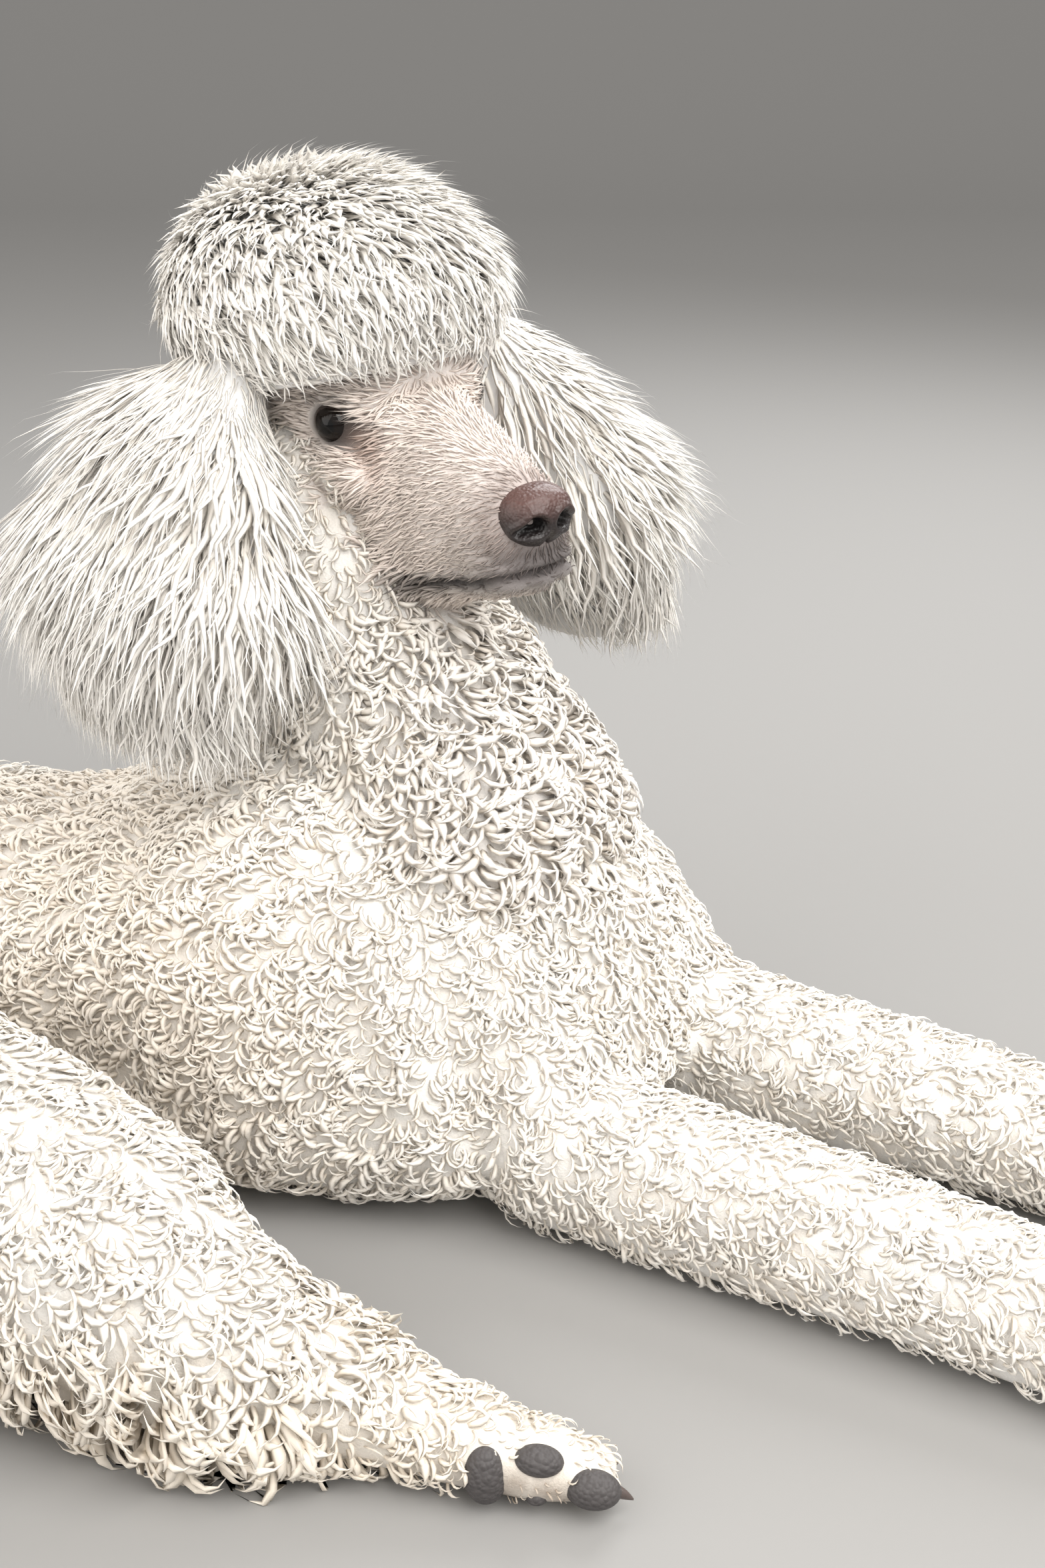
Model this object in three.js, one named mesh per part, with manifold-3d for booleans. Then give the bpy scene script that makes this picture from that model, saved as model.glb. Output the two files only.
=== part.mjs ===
import * as THREE from 'three';
import { mergeVertices } from 'three/addons/utils/BufferGeometryUtils.js';
import Module from 'manifold-3d';

const wasm = await Module();
wasm.setup();

// A standard poodle lying on its brisket, hindquarters rolled on to the left hip, head turned
// to its right. Millimetres. X forward, Y to the dog's left, Z up. Until the last lines the
// origin is on the floor midway between the elbows.

// Driving dimensions
const GAP = 0.35;
const FLOOR_REACH = 1400;
const FRONT_Y = -22;
const LEG_SPACING = 132;
const FORELEG_GIRTH = 41;
const PAW_AT = 325;
const TRUNK_HALF_WIDTH = 144;
const WITHERS_HEIGHT = 232;
const LOIN_HEIGHT = 156;
const RUMP_HEIGHT = 150;
const NECK_GIRTH = 67;
const SKULL_HALF_WIDTH = 50;
const MUZZLE_HALF_WIDTH = 26;
const EYE_SPACING = 72;
const EYE_RADIUS = 11.5;
const NOSE_HALF_WIDTH = 19.5;
const EAR_DROP = 178;
const EAR_SWING = 14;
const EAR_HALF_BREADTH = 104;
const EAR_HALF_THICKNESS = 58;
const TOPKNOT_HALF = [96, 88, 68];
const HIND_GIRTH = 76;
const TAIL_GIRTH = 23;
const POM_RADIUS = 64;
const BODY_CURL = { pitch: 88, depth: 28, until: 1, seed: 11 };
const NECK_CURL = { pitch: 84, depth: 26, until: 1, seed: 12 };
const LEG_CURL = { pitch: 70, depth: 20, until: 0.86, seed: 13 };
const HIND_CURL = { pitch: 84, depth: 24, until: 0.9, seed: 14 };
const TAIL_CURL = { pitch: 76, depth: 14, until: 0.9, seed: 15 };
const EAR_LOCK = { length: 150, width: 74, thick: 28, rows: 3, around: 4, seed: 21 };
const CREST_LOCK = { length: 70, width: 50, thick: 30, count: 25, clear: 28, seed: 22 };
const POM_LOCK = { length: 46, width: 50, thick: 30, count: 9, clear: 22, seed: 23 };
const CORE_DEPTH = 0.5;
const CLUMP_HALF = 0.52;
const THIN_CURL = 1.7;
const LEAST_CURL = 0.62;
const NET_STEPS = 44;
const PRESSED_HEIGHT = 12;
const PRESSED_SLOPE = -0.5;
const TIP_ROOM = 12;
const ROOT_DEPTH = 12;

// Planes that part the bodies: a point of each, and the way to the piece that it takes off
const ELBOW_AT = [14, 62];
const ELBOW_FACING = [-0.7, 0, 0.72];
const WRIST_AT = [262, 40];
const WRIST_FACING = [1, 0, 0];
const KNEE_PLANE = [[-240, -290, 92], [-0.97, 0.2, 0]];
const HOCK_PLANE = [[-62, -300, 54], [0.94, 0.1, -0.3]];
const TAIL_BEND_PLANE = [[-424, -380, 40], [0.75, -0.66, 0]];
const NECK_PLANE = [[-112, FRONT_Y, 210], [0.46, 0, 0.888]];
const CHEST_PLANE = [[-212, -60, 90], [1, -0.12, 0]];
const LOIN_PLANE = [[-324, -84, 80], [0.9, 0.44, 0]];

// The head's own frame: origin midway between the eyes, X along the muzzle, Y left, Z up
const HEAD_AT = [-122, -30, 389.5];
const HEAD_YAW = -21.92;
const HEAD_PITCH = 8.15;
const HEAD_ROLL = 4.0;
const HEAD = new THREE.Matrix4()
  .makeRotationFromEuler(
    new THREE.Euler(
      THREE.MathUtils.degToRad(HEAD_ROLL),
      THREE.MathUtils.degToRad(HEAD_PITCH),
      THREE.MathUtils.degToRad(HEAD_YAW),
      'ZYX',
    ),
  )
  .setPosition(...HEAD_AT);
const WORLD = new THREE.Matrix4();

// Closed geometry to a solid, faces outward
function meshVolume(place, faces) {
  const a = new THREE.Vector3();
  const b = new THREE.Vector3();
  const c = new THREE.Vector3();
  let volume = 0;
  for (let i = 0; i < faces.length; i += 3) {
    a.fromArray(place, 3 * faces[i]);
    b.fromArray(place, 3 * faces[i + 1]);
    c.fromArray(place, 3 * faces[i + 2]);
    volume += a.dot(b.cross(c)) / 6;
  }
  return volume;
}

function solid(geometry, frame = WORLD) {
  const plain = geometry.clone();
  plain.deleteAttribute('normal');
  plain.deleteAttribute('uv');
  plain.applyMatrix4(frame);
  const merged = mergeVertices(plain, 1e-3);
  const place = merged.attributes.position.array;
  const faces = new Uint32Array(merged.index.array);
  if (meshVolume(place, faces) < 0) {
    for (let i = 0; i < faces.length; i += 3) {
      const first = faces[i];
      faces[i] = faces[i + 1];
      faces[i + 1] = first;
    }
  }
  const mesh = { numProp: 3, vertProperties: new Float32Array(place), triVerts: faces };
  return new wasm.Manifold(new wasm.Mesh(mesh));
}

function join(pieces) {
  let whole = pieces[0];
  for (const piece of pieces.slice(1)) whole = whole.add(piece);
  return whole;
}

function cut(body, cutters) {
  let left = body;
  for (const cutter of cutters) left = left.subtract(cutter);
  return left;
}

function bySize(body) {
  const volumeOf = (part) => {
    const mesh = part.getMesh();
    return meshVolume(mesh.vertProperties, mesh.triVerts);
  };
  const parts = body.decompose().map((part) => ({ part, volume: volumeOf(part) }));
  parts.sort((p, q) => q.volume - p.volume);
  return parts.map((entry) => entry.part);
}

// A rounded body along a smooth line through stations of
// [x, y, z, half width, height above the line, depth below it]
function bodyLine(stations, options = {}) {
  const curve = (points) => new THREE.CatmullRomCurve3(points, false, 'centripetal');
  return {
    spine: curve(stations.map((s) => new THREE.Vector3(s[0], s[1], s[2]))),
    across: new THREE.Vector3(...(options.across ?? [0, 1, 0])),
    fullness: options.fullness ?? 2.2,
    seat: options.seat ?? options.fullness ?? 2.2,
    cap: options.cap ?? 0.8,
    frame: options.frame ?? WORLD,
    last: stations.length - 1,
    stations,
  };
}

function spinePoint(line, t) {
  const index = t * line.last;
  const low = Math.min(Math.floor(index), line.last - 1);
  const share = index - low;
  const ease = share * share * (3 - 2 * share);
  const from = line.stations[low];
  const to = line.stations[low + 1];
  const blend = (a, b) => a + (b - a) * ease;
  return {
    at: line.spine.getPoint(t),
    wide: blend(from[3], to[3]),
    above: blend(from[4], to[4]),
    below: blend(from[5] ?? from[4], to[5] ?? to[4]),
  };
}

const CAP_SHARE = 0.16;

function spineShare(share) {
  return THREE.MathUtils.clamp((share - CAP_SHARE) / (1 - 2 * CAP_SHARE), 0, 1);
}

// A point of the body's surface: share runs from tip to tip, angle turns about the line
function bodyPoint(line, share, angle, grow = 0) {
  const t = spineShare(share);
  const { at, wide, above, below } = spinePoint(line, t);
  const along = line.spine.getTangent(t);
  const side = line.across.clone().addScaledVector(along, -line.across.dot(along)).normalize();
  const up = along.clone().cross(side);
  const edge = Math.min(share, 1 - share) / CAP_SHARE;
  const turn = Math.min(edge, 1) * Math.PI * 0.5;
  const capLength = line.cap * 0.5 * (wide + above) + grow;
  const beyond = Math.cos(turn) * capLength * (share < 0.5 ? -1 : 1);
  const lower = Math.sin(angle) * up.z < 0;
  const fullness = lower ? line.seat : line.fullness;
  const tall = lower ? below : above;
  const round = (value) => Math.sign(value) * Math.abs(value) ** (2 / fullness);
  return at
    .addScaledVector(side, round(Math.cos(angle)) * (wide + grow) * Math.sin(turn))
    .addScaledVector(up, round(Math.sin(angle)) * (tall + grow) * Math.sin(turn))
    .addScaledVector(along, beyond);
}

function body(line, sides, rings, grow = 0) {
  const geometry = new THREE.SphereGeometry(1, sides, rings);
  const place = geometry.attributes.position;
  const v = new THREE.Vector3();
  for (let i = 0; i < place.count; i += 1) {
    v.fromBufferAttribute(place, i);
    const share = Math.acos(THREE.MathUtils.clamp(v.y, -1, 1)) / Math.PI;
    const point = bodyPoint(line, share, Math.atan2(v.z, v.x), grow);
    place.setXYZ(i, point.x, point.y, point.z);
  }
  return solid(geometry, line.frame);
}

// An egg of three half sizes
function egg(at, half, grow = 0, options = {}) {
  const geometry = new THREE.SphereGeometry(1, options.sides ?? 12, options.rings ?? 8);
  geometry.rotateX(Math.PI / 2);
  geometry.scale(half[0] + grow, half[1] + grow, half[2] + grow);
  const turn = options.turn ?? [0, 0, 0];
  geometry.rotateX(turn[0]);
  geometry.rotateY(turn[1]);
  geometry.rotateZ(turn[2]);
  geometry.translate(at[0], at[1], at[2]);
  return solid(geometry, options.frame ?? WORLD);
}

// A block that fills the side of a plane that the normal points to, and half the gap besides
function beyondPlane(at, normal, frame = WORLD) {
  const geometry = new THREE.BoxGeometry(FLOOR_REACH, FLOOR_REACH, FLOOR_REACH);
  geometry.translate((FLOOR_REACH - GAP) / 2, 0, 0);
  const turn = new THREE.Quaternion().setFromUnitVectors(
    new THREE.Vector3(1, 0, 0),
    new THREE.Vector3(...normal).normalize(),
  );
  geometry.applyQuaternion(turn);
  geometry.translate(at[0], at[1], at[2]);
  return solid(geometry, frame);
}

// A level block between two heights
function slab(from, to) {
  const geometry = new THREE.BoxGeometry(2 * FLOOR_REACH, 2 * FLOOR_REACH, to - from);
  geometry.translate(0, 0, (from + to) / 2);
  return solid(geometry);
}

// A seeded run of numbers between -1 and 1
function seeded(seed) {
  let state = seed * 7919;
  return () => {
    state = (Math.imul(state, 1664525) + 1013904223) >>> 0;
    return (state / 4294967296) * 2 - 1;
  };
}

// True where a point lies deeper than the margin inside a body
function isInside(line, point, margin) {
  const local = point.clone().applyMatrix4(line.frame.clone().invert());
  const steps = 32;
  let best = 0;
  let nearest = Infinity;
  for (let i = 0; i <= steps; i += 1) {
    const distance = line.spine.getPoint(i / steps).distanceTo(local);
    if (distance < nearest) {
      nearest = distance;
      best = i / steps;
    }
  }
  const { at, wide, above, below } = spinePoint(line, best);
  const along = line.spine.getTangent(best);
  const side = line.across.clone().addScaledVector(along, -line.across.dot(along)).normalize();
  const up = along.clone().cross(side);
  const away = local.sub(at);
  const beyond = best === 0 || best === 1 ? Math.abs(away.dot(along)) : 0;
  const tall = away.dot(up) * up.z < 0 ? below : above;
  const x = away.dot(side) / (wide - margin);
  const y = away.dot(up) / (tall - margin);
  const z = beyond / (line.cap * 0.5 * (wide + above) - margin);
  return Math.abs(x) ** 2.3 + Math.abs(y) ** 2.3 + Math.abs(z) ** 2 < 1;
}

// How much smaller the curl is where the body is thin
function curlScale(curl, wide, tall) {
  return THREE.MathUtils.clamp((THIN_CURL * Math.min(wide, tall)) / curl.pitch, LEAST_CURL, 1);
}

// The core under a fleece: the same line, sunk half way from the tips to the roots
function coreLine(line, curl) {
  const stations = line.stations.map(([x, y, z, wide, above, below = above]) => {
    const sink = curl.depth * CORE_DEPTH * curlScale(curl, wide, above);
    return [x, y, z, wide - sink, above - sink, below - sink];
  });
  return { ...line, stations };
}

// A fine seeded net of spots all over a body, each with the way its surface looks
function surfaceNet(line, curl, random) {
  const net = [];
  for (let i = 0; i < NET_STEPS; i += 1) {
    for (let k = 0; k < NET_STEPS; k += 1) {
      const share = (i + 0.5 + random() * 0.4) / NET_STEPS;
      const angle = ((k + random() * 0.4) / NET_STEPS) * 2 * Math.PI;
      const at = bodyPoint(line, share, angle);
      const out = bodyPoint(line, share, angle, 5).sub(at).normalize();
      const { wide, above } = spinePoint(line, spineShare(share));
      const scale = curlScale(curl, wide, above);
      net.push({ at, out, share, scale, near: [Infinity, Infinity] });
    }
  }
  return net;
}

// Spots of the net a pitch apart, packed as close as that allows from one start
function packed(net, pitch) {
  const kept = [];
  let next = net[Math.floor(net.length / 2)];
  while (next) {
    kept.push(next);
    const last = next.at;
    next = null;
    let best = Infinity;
    for (const spot of net) {
      const gap = spot.at.distanceTo(last);
      if (gap < spot.near[0]) spot.near = [gap, spot.near[0]];
      else if (gap < spot.near[1]) spot.near = [spot.near[0], gap];
      const score = Math.min(spot.near[0], 3 * pitch) + Math.min(spot.near[1], 3 * pitch);
      if (spot.near[0] > pitch * spot.scale && score < best) {
        best = score;
        next = spot;
      }
    }
  }
  return kept;
}

// Rounded clumps of curl set close, their tips on the body's outline
function clumps(line, curl, clearOf) {
  const random = seeded(curl.seed);
  const ahead = new THREE.Vector3(0, 0, 1);
  const pieces = [];
  const net = surfaceNet(line, curl, random).filter((spot) => spot.share < curl.until);
  for (const { at, out, scale } of packed(net, curl.pitch)) {
    const size = (1 + random() * 0.06) * scale;
    const spin = random() * Math.PI;
    const seat = at.clone().addScaledVector(out, -curl.depth * scale);
    const place = seat.clone().applyMatrix4(line.frame);
    const hidden = clearOf.some((other) => isInside(other, place, curl.depth * CORE_DEPTH));
    const pressed = out.z < PRESSED_SLOPE && place.z < PRESSED_HEIGHT + curl.depth;
    if (!hidden && !pressed && place.z > 0) {
      const half = curl.pitch * CLUMP_HALF * size;
      const geometry = new THREE.SphereGeometry(1, 5, 3);
      geometry.rotateX(Math.PI / 2);
      geometry.rotateZ(spin);
      geometry.scale(half, half, curl.depth * size);
      geometry.applyQuaternion(new THREE.Quaternion().setFromUnitVectors(ahead, out));
      geometry.translate(seat.x, seat.y, seat.z);
      pieces.push(solid(geometry, line.frame));
    }
  }
  return pieces;
}

// A flat lock that tapers to its tip along a bent path; outward is the way its face looks
function lock(points, outward, width, thick, frame) {
  const path = new THREE.CatmullRomCurve3(points);
  const geometry = new THREE.ConeGeometry(1, 1, 4, 3);
  const place = geometry.attributes.position;
  const v = new THREE.Vector3();
  for (let i = 0; i < place.count; i += 1) {
    v.fromBufferAttribute(place, i);
    const share = v.y + 0.5;
    const along = path.getTangent(share);
    const side = outward.clone().cross(along).normalize();
    const face = along.clone().cross(side);
    const onAxis = Math.hypot(v.x, v.z) < 1e-6;
    const angle = Math.atan2(v.z, v.x);
    const girth = Math.sin(Math.PI * (0.24 + 0.76 * share)) ** 0.8;
    const reach = onAxis ? 0 : 1;
    const point = path
      .getPoint(share)
      .addScaledVector(side, (Math.cos(angle) * reach * girth * width) / 2)
      .addScaledVector(face, (Math.sin(angle) * reach * girth * thick) / 2);
    place.setXYZ(i, point.x, point.y, point.z);
  }
  return solid(geometry, frame);
}

// Lines of the body, limbs and tail
const trunkLine = bodyLine(
  [
    [-24, FRONT_Y, 118, 74, 92, 90],
    [-78, FRONT_Y - 8, 92, 128, 134, 94],
    [-160, FRONT_Y - 22, 82, TRUNK_HALF_WIDTH + 4, WITHERS_HEIGHT - 82, 84],
    [-242, FRONT_Y - 28, 80, TRUNK_HALF_WIDTH - 2, 108, 82],
    [-318, FRONT_Y - 56, 76, TRUNK_HALF_WIDTH - 18, LOIN_HEIGHT - 76, 78],
    [-384, FRONT_Y - 106, 76, 104, 78, 78],
    [-430, FRONT_Y - 168, 74, 88, RUMP_HEIGHT - 74, 76],
    [-450, FRONT_Y - 222, 68, 66, 68, 66],
  ],
  { cap: 0.5, fullness: 2.3, seat: 4 },
);

const neckLine = bodyLine(
  [
    [-84, FRONT_Y - 2, 160, 88, 80],
    [-122, FRONT_Y - 4, 222, 80, 72],
    [-160, FRONT_Y - 6, 286, NECK_GIRTH, NECK_GIRTH],
    [-184, FRONT_Y, 346, 64, 66],
  ],
  { cap: 0.7 },
);

function forelegLine(side) {
  const y = FRONT_Y + (side * LEG_SPACING) / 2;
  return bodyLine([
    [-88, y - side * 6, 146, 40, 54],
    [-48, y - side * 3, 102, 46, 54],
    [-4, y, 50, 48, 50],
    [44, y, 41, 44, 43],
    [120, y, FORELEG_GIRTH - 1, FORELEG_GIRTH, FORELEG_GIRTH],
    [230, y, FORELEG_GIRTH - 5, FORELEG_GIRTH - 3, FORELEG_GIRTH - 4],
    [PAW_AT, y, 29, 36, 30],
  ]);
}

const hindRightLine = bodyLine([
  [-410, -196, 78, 80, 70],
  [-346, -246, 84, HIND_GIRTH, HIND_GIRTH - 4],
  [-262, -288, 92, 66, 66],
  [-176, -298, 80, 67, 67],
  [-110, -302, 68, 63, 65],
  [-58, -302, 52, 49, 51],
  [-8, -286, 34, 36, 31],
  [42, -275, 24, 28, 23],
  [84, -265, 19, 25, 19],
  [112, -255, 15, 21, 14],
]);

const thighLeftLine = bodyLine([
  [-420, -64, 72, 84, 72],
  [-340, 4, 60, 68, 60],
  [-262, 48, 50, 54, 50],
]);

const hindFootLeftLine = bodyLine([
  [-352, -112, 34, 34, 34],
  [-262, -168, 30, 33, 30],
  [-178, -186, 25, 30, 25],
]);

const tailLine = bodyLine([
  [-452, -262, 84, 34, 32],
  [-452, -350, 54, TAIL_GIRTH, TAIL_GIRTH],
  [-386, -408, 32, TAIL_GIRTH, TAIL_GIRTH],
  [-300, -412, 34, TAIL_GIRTH, TAIL_GIRTH],
]);
const pomAt = [-212, -408, POM_RADIUS - 2];

// Lines of the head, in the head's own frame
const skullLine = bodyLine(
  [
    [-98, 0, 4, 34, 34],
    [-76, 0, -8, 46, 58],
    [-40, 0, -22, SKULL_HALF_WIDTH, 74],
    [-8, 0, -32, 47, 68],
    [16, 0, -37, 37, 59],
    [44, 0, -34, 30, 48],
    [76, 0, -31, MUZZLE_HALF_WIDTH, 38],
    [98, 0, -27, 23, 27],
  ],
  { frame: HEAD, cap: 0.6, fullness: 2.4 },
);

// The left ear swings a little lower and further out than the right one
function earLine(side) {
  const swing = side > 0 ? EAR_SWING : 0;
  return bodyLine(
    [
      [-50, side * 66, 22, 34, 26],
      [-52, side * 90, -24, 76, 46],
      [-46, side * 112 + swing * 0.4, -74, EAR_HALF_BREADTH, EAR_HALF_THICKNESS],
      [-36, side * 124 + swing, 54 - EAR_DROP - swing, 86, EAR_HALF_THICKNESS - 10],
    ],
    { frame: HEAD, across: [1, 0, 0], cap: 0.7, fullness: 2.1 },
  );
}

const topknotAt = [-60, 0, 34];

// The closed mouth, seen from the side: from the chin to the corner, then back under the cheek
const MOUTH = [
  [126, -36],
  [110, -41],
  [88, -52],
  [60, -63],
  [30, -72],
];
const JAW_HINGE = [
  [12, -80],
  [-6, -124],
];
const LIP_RADIUS = 3.2;
const LIP_FRONT = 109;
const LIP_TURN = [102, 15, 3];
const MOUTH_GAP = 1.2;

function muzzleSide(x, z) {
  const stations = skullLine.stations;
  let index = 0;
  while (index < stations.length - 2 && stations[index + 1][0] < x) index += 1;
  const from = stations[index];
  const to = stations[index + 1];
  const share = THREE.MathUtils.clamp((x - from[0]) / (to[0] - from[0]), 0, 1);
  const blend = (k) => from[k] + (to[k] - from[k]) * share;
  const height = Math.min(Math.abs(z - blend(2)) / blend(4), 0.98);
  return blend(3) * (1 - height ** skullLine.fullness) ** (1 / skullLine.fullness);
}

// The strip cut out between the lips, and the thin parting behind the corner of the mouth
function mouthStrip() {
  const outline = new THREE.Shape();
  const upper = [...MOUTH.map(([x, z]) => [x, z + MOUTH_GAP / 2]), ...JAW_HINGE];
  const lower = [
    ...MOUTH.map(([x, z]) => [x, z - MOUTH_GAP / 2]),
    ...JAW_HINGE.map(([x, z]) => [x + GAP, z]),
  ];
  upper.forEach(([x, z], i) => (i ? outline.lineTo(x, z) : outline.moveTo(x, z)));
  lower.reverse().forEach(([x, z]) => outline.lineTo(x, z));
  const geometry = new THREE.ExtrudeGeometry(outline, { depth: 160, bevelEnabled: false });
  geometry.translate(0, 0, -80);
  geometry.rotateX(Math.PI / 2);
  return solid(geometry, HEAD);
}

function lip(rise, grow) {
  const side = MOUTH.slice(2).reverse();
  const right = side.map(([x, z]) => [x, -muzzleSide(x, z + rise) + 1, z + rise]);
  const front = [LIP_TURN[0], -LIP_TURN[1], MOUTH[1][1] - LIP_TURN[2] + rise];
  const points = [
    ...right,
    front,
    [LIP_FRONT, 0, MOUTH[1][1] + rise],
    [front[0], -front[1], front[2]],
    ...right.map(([x, y, z]) => [x, -y, z]).reverse(),
  ];
  const path = new THREE.CatmullRomCurve3(points.map((q) => new THREE.Vector3(...q)));
  const section = new THREE.Shape();
  section.absarc(0, 0, LIP_RADIUS + grow, 0, 2 * Math.PI, false);
  const geometry = new THREE.ExtrudeGeometry(section, {
    steps: 10,
    curveSegments: 3,
    extrudePath: path,
    bevelEnabled: false,
  });
  return solid(geometry, HEAD);
}

const EYE_X = -4;
const LID_TUBE = 3.4;
const LID_HEIGHT = 0.72;
const LID_STAND = 0.55;
const EYE_LOOK = [0.5, 0.85, 0.1];

function eye(side, grow) {
  const half = EYE_RADIUS;
  const at = [EYE_X, (side * EYE_SPACING) / 2, 0];
  return egg(at, [half, half, half], grow, { frame: HEAD, sides: 10, rings: 6 });
}

// Upper and lower lid as one almond rim that stands round the eye
function lids(side, grow) {
  const geometry = new THREE.TorusGeometry(EYE_RADIUS - 1, LID_TUBE + grow, 5, 10);
  geometry.scale(1, LID_HEIGHT, 1);
  geometry.translate(0, 0, EYE_RADIUS * LID_STAND);
  const look = new THREE.Vector3(EYE_LOOK[0], side * EYE_LOOK[1], EYE_LOOK[2]).normalize();
  const turn = new THREE.Matrix4().lookAt(look, new THREE.Vector3(), new THREE.Vector3(0, 0, 1));
  geometry.applyMatrix4(turn);
  geometry.translate(EYE_X, (side * EYE_SPACING) / 2, 0);
  return solid(geometry, HEAD);
}

const NOSE_AT = [103, 0, -17];
const NOSE_HALF = [15, NOSE_HALF_WIDTH, 16];
const NOSTRIL = { at: [116, 8.5, -15], half: [6, 4.2, 4.2] };
const NOSTRIL_SLIT = { at: [110, 17, -19], half: [8, 4, 2.4], rise: 0.3, yaw: -0.5 };

function nose(grow) {
  return egg(NOSE_AT, NOSE_HALF, grow, { frame: HEAD, sides: 10, rings: 6 });
}

// Each nostril is a comma that runs from the front of the nose round its side
function nostrils() {
  const mirrored = ([x, y, z], side) => [x, side * y, z];
  return [-1, 1].flatMap((side) => [
    egg(mirrored(NOSTRIL.at, side), NOSTRIL.half, 0, { frame: HEAD, sides: 7, rings: 4 }),
    egg(mirrored(NOSTRIL_SLIT.at, side), NOSTRIL_SLIT.half, 0, {
      frame: HEAD,
      sides: 6,
      rings: 4,
      turn: [0, NOSTRIL_SLIT.rise, side * NOSTRIL_SLIT.yaw],
    }),
  ]);
}

// Four toes across the end of a forepaw, the outer two set back
const TOE_HALF = [22, 9.5, 12];
const TOE_SPREAD = 15;
const TOE_REACH = 12;
const TOE_HEIGHT = 17;
const OUTER_TOE_BACK = 14;
const TOE_PLACES = [
  [-1.5, OUTER_TOE_BACK],
  [-0.5, 0],
  [0.5, 0],
  [1.5, OUTER_TOE_BACK],
];

function forelegToes(side) {
  const y = FRONT_Y + (side * LEG_SPACING) / 2;
  return TOE_PLACES.map(([place, setBack]) => {
    const at = [PAW_AT + TOE_REACH - setBack, y + place * TOE_SPREAD, TOE_HEIGHT];
    return egg(at, TOE_HALF, 0, { sides: 6, rings: 4 });
  });
}

// The sole of the right hind foot is turned out: its pads are set on that side
const HIND_PADS = [
  [[68, -276, 18], [13, 9, 14]],
  [[85, -268, 27], [12, 7, 8]],
  [[110, -262, 17], [13, 8, 9]],
];
const HIND_CLAW = [[136, -248, 12], [9, 3.4, 3.8]];
const HIND_YAW = 0.35;

function hindPads(grow) {
  const turn = [0, 0, HIND_YAW];
  const pads = HIND_PADS.map(([at, half]) => egg(at, half, grow, { sides: 8, rings: 6, turn }));
  return [...pads, egg(HIND_CLAW[0], HIND_CLAW[1], grow, { sides: 6, rings: 4, turn })];
}

// Each ear is a leather with a cup on its inner side, hung with overlapping locks
function ear(side) {
  const line = earLine(side);
  const random = seeded(EAR_LOCK.seed + side);
  const leather = body(line, 10, 7, -EAR_HALF_THICKNESS * 0.5);
  const pieces = [leather];
  for (let row = 0; row < EAR_LOCK.rows; row += 1) {
    const from = 0.1 + (row / (EAR_LOCK.rows - 1)) * 0.62;
    const count = row === 0 ? EAR_LOCK.around - 2 : EAR_LOCK.around + 1;
    for (let k = 0; k < count; k += 1) {
      const angle = ((k + (row % 2) * 0.5 + random() * 0.12) / count) * 2 * Math.PI;
      const drop = (EAR_LOCK.length * (1 + random() * 0.12)) / 320;
      const lean = random() * 0.12;
      const points = [
        bodyPoint(line, from, angle, -EAR_HALF_THICKNESS * 0.62),
        bodyPoint(line, Math.min(from + drop * 0.45, 0.93), angle + lean * 0.5, -12),
        bodyPoint(line, Math.min(from + drop, 0.97), angle + lean, random() * 2 - 2),
      ];
      const spine = spinePoint(line, THREE.MathUtils.clamp(from, 0, 1)).at;
      const outward = points[1].clone().sub(spine).normalize();
      const width = EAR_LOCK.width * (1 + random() * 0.15);
      pieces.push(lock(points, outward, width, EAR_LOCK.thick, line.frame));
    }
  }
  return join(pieces);
}

const EAR_CUP = { at: [-34, 66, -30], half: [20, 9, 26] };

function earCup(side) {
  const [x, y, z] = EAR_CUP.at;
  return egg([x, side * y, z], EAR_CUP.half, 0, { frame: HEAD, sides: 10, rings: 6 });
}

// Locks that stand out all round an egg and bend along their lie
function pouf(at, half, hair, core, options) {
  const random = seeded(hair.seed);
  const pieces = [egg(at, core, 0, options)];
  const centre = new THREE.Vector3(...at);
  const golden = Math.PI * (3 - Math.sqrt(5));
  for (let k = 0; k < hair.count; k += 1) {
    const height = 1 - (2 * (k + 0.5)) / hair.count;
    const level = Math.sqrt(1 - height * height);
    const turn = k * golden + random() * 0.15;
    const away = new THREE.Vector3(Math.cos(turn) * level, Math.sin(turn) * level, height);
    const outer = new THREE.Vector3(...half).multiply(away);
    const normal = away.clone().divide(new THREE.Vector3(...half)).normalize();
    const lie = options.lie.clone().addScaledVector(normal, -options.lie.dot(normal));
    const sway = new THREE.Vector3(random(), random(), random()).multiplyScalar(0.25);
    const bend = lie.add(sway).multiplyScalar(hair.length * 0.34);
    const tip = centre.clone().add(outer.clone().multiplyScalar(1 + random() * 0.02));
    const root = tip.clone().addScaledVector(normal, -hair.length).sub(bend);
    const middle = tip.clone().addScaledVector(normal, -hair.length * 0.4).addScaledVector(bend, -0.3);
    if (options.keep(tip)) {
      const facing = lie.lengthSq() > 1e-6 ? normal.clone().cross(lie).cross(lie).negate() : away;
      const outward = facing.normalize();
      const width = hair.width * (1 + random() * 0.15);
      pieces.push(lock([root, middle, tip], outward, width, hair.thick, options.frame));
    }
  }
  return join(pieces);
}

// The hair of the topknot is scissored off in a slope above the eyes
const FRINGE_AT = [10, 0, 17];
const FRINGE_SLOPE = [0.36, 0, -1];
const FRINGE_STEEPNESS = 1.06;
const FRINGE_MARGIN = 8;

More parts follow.
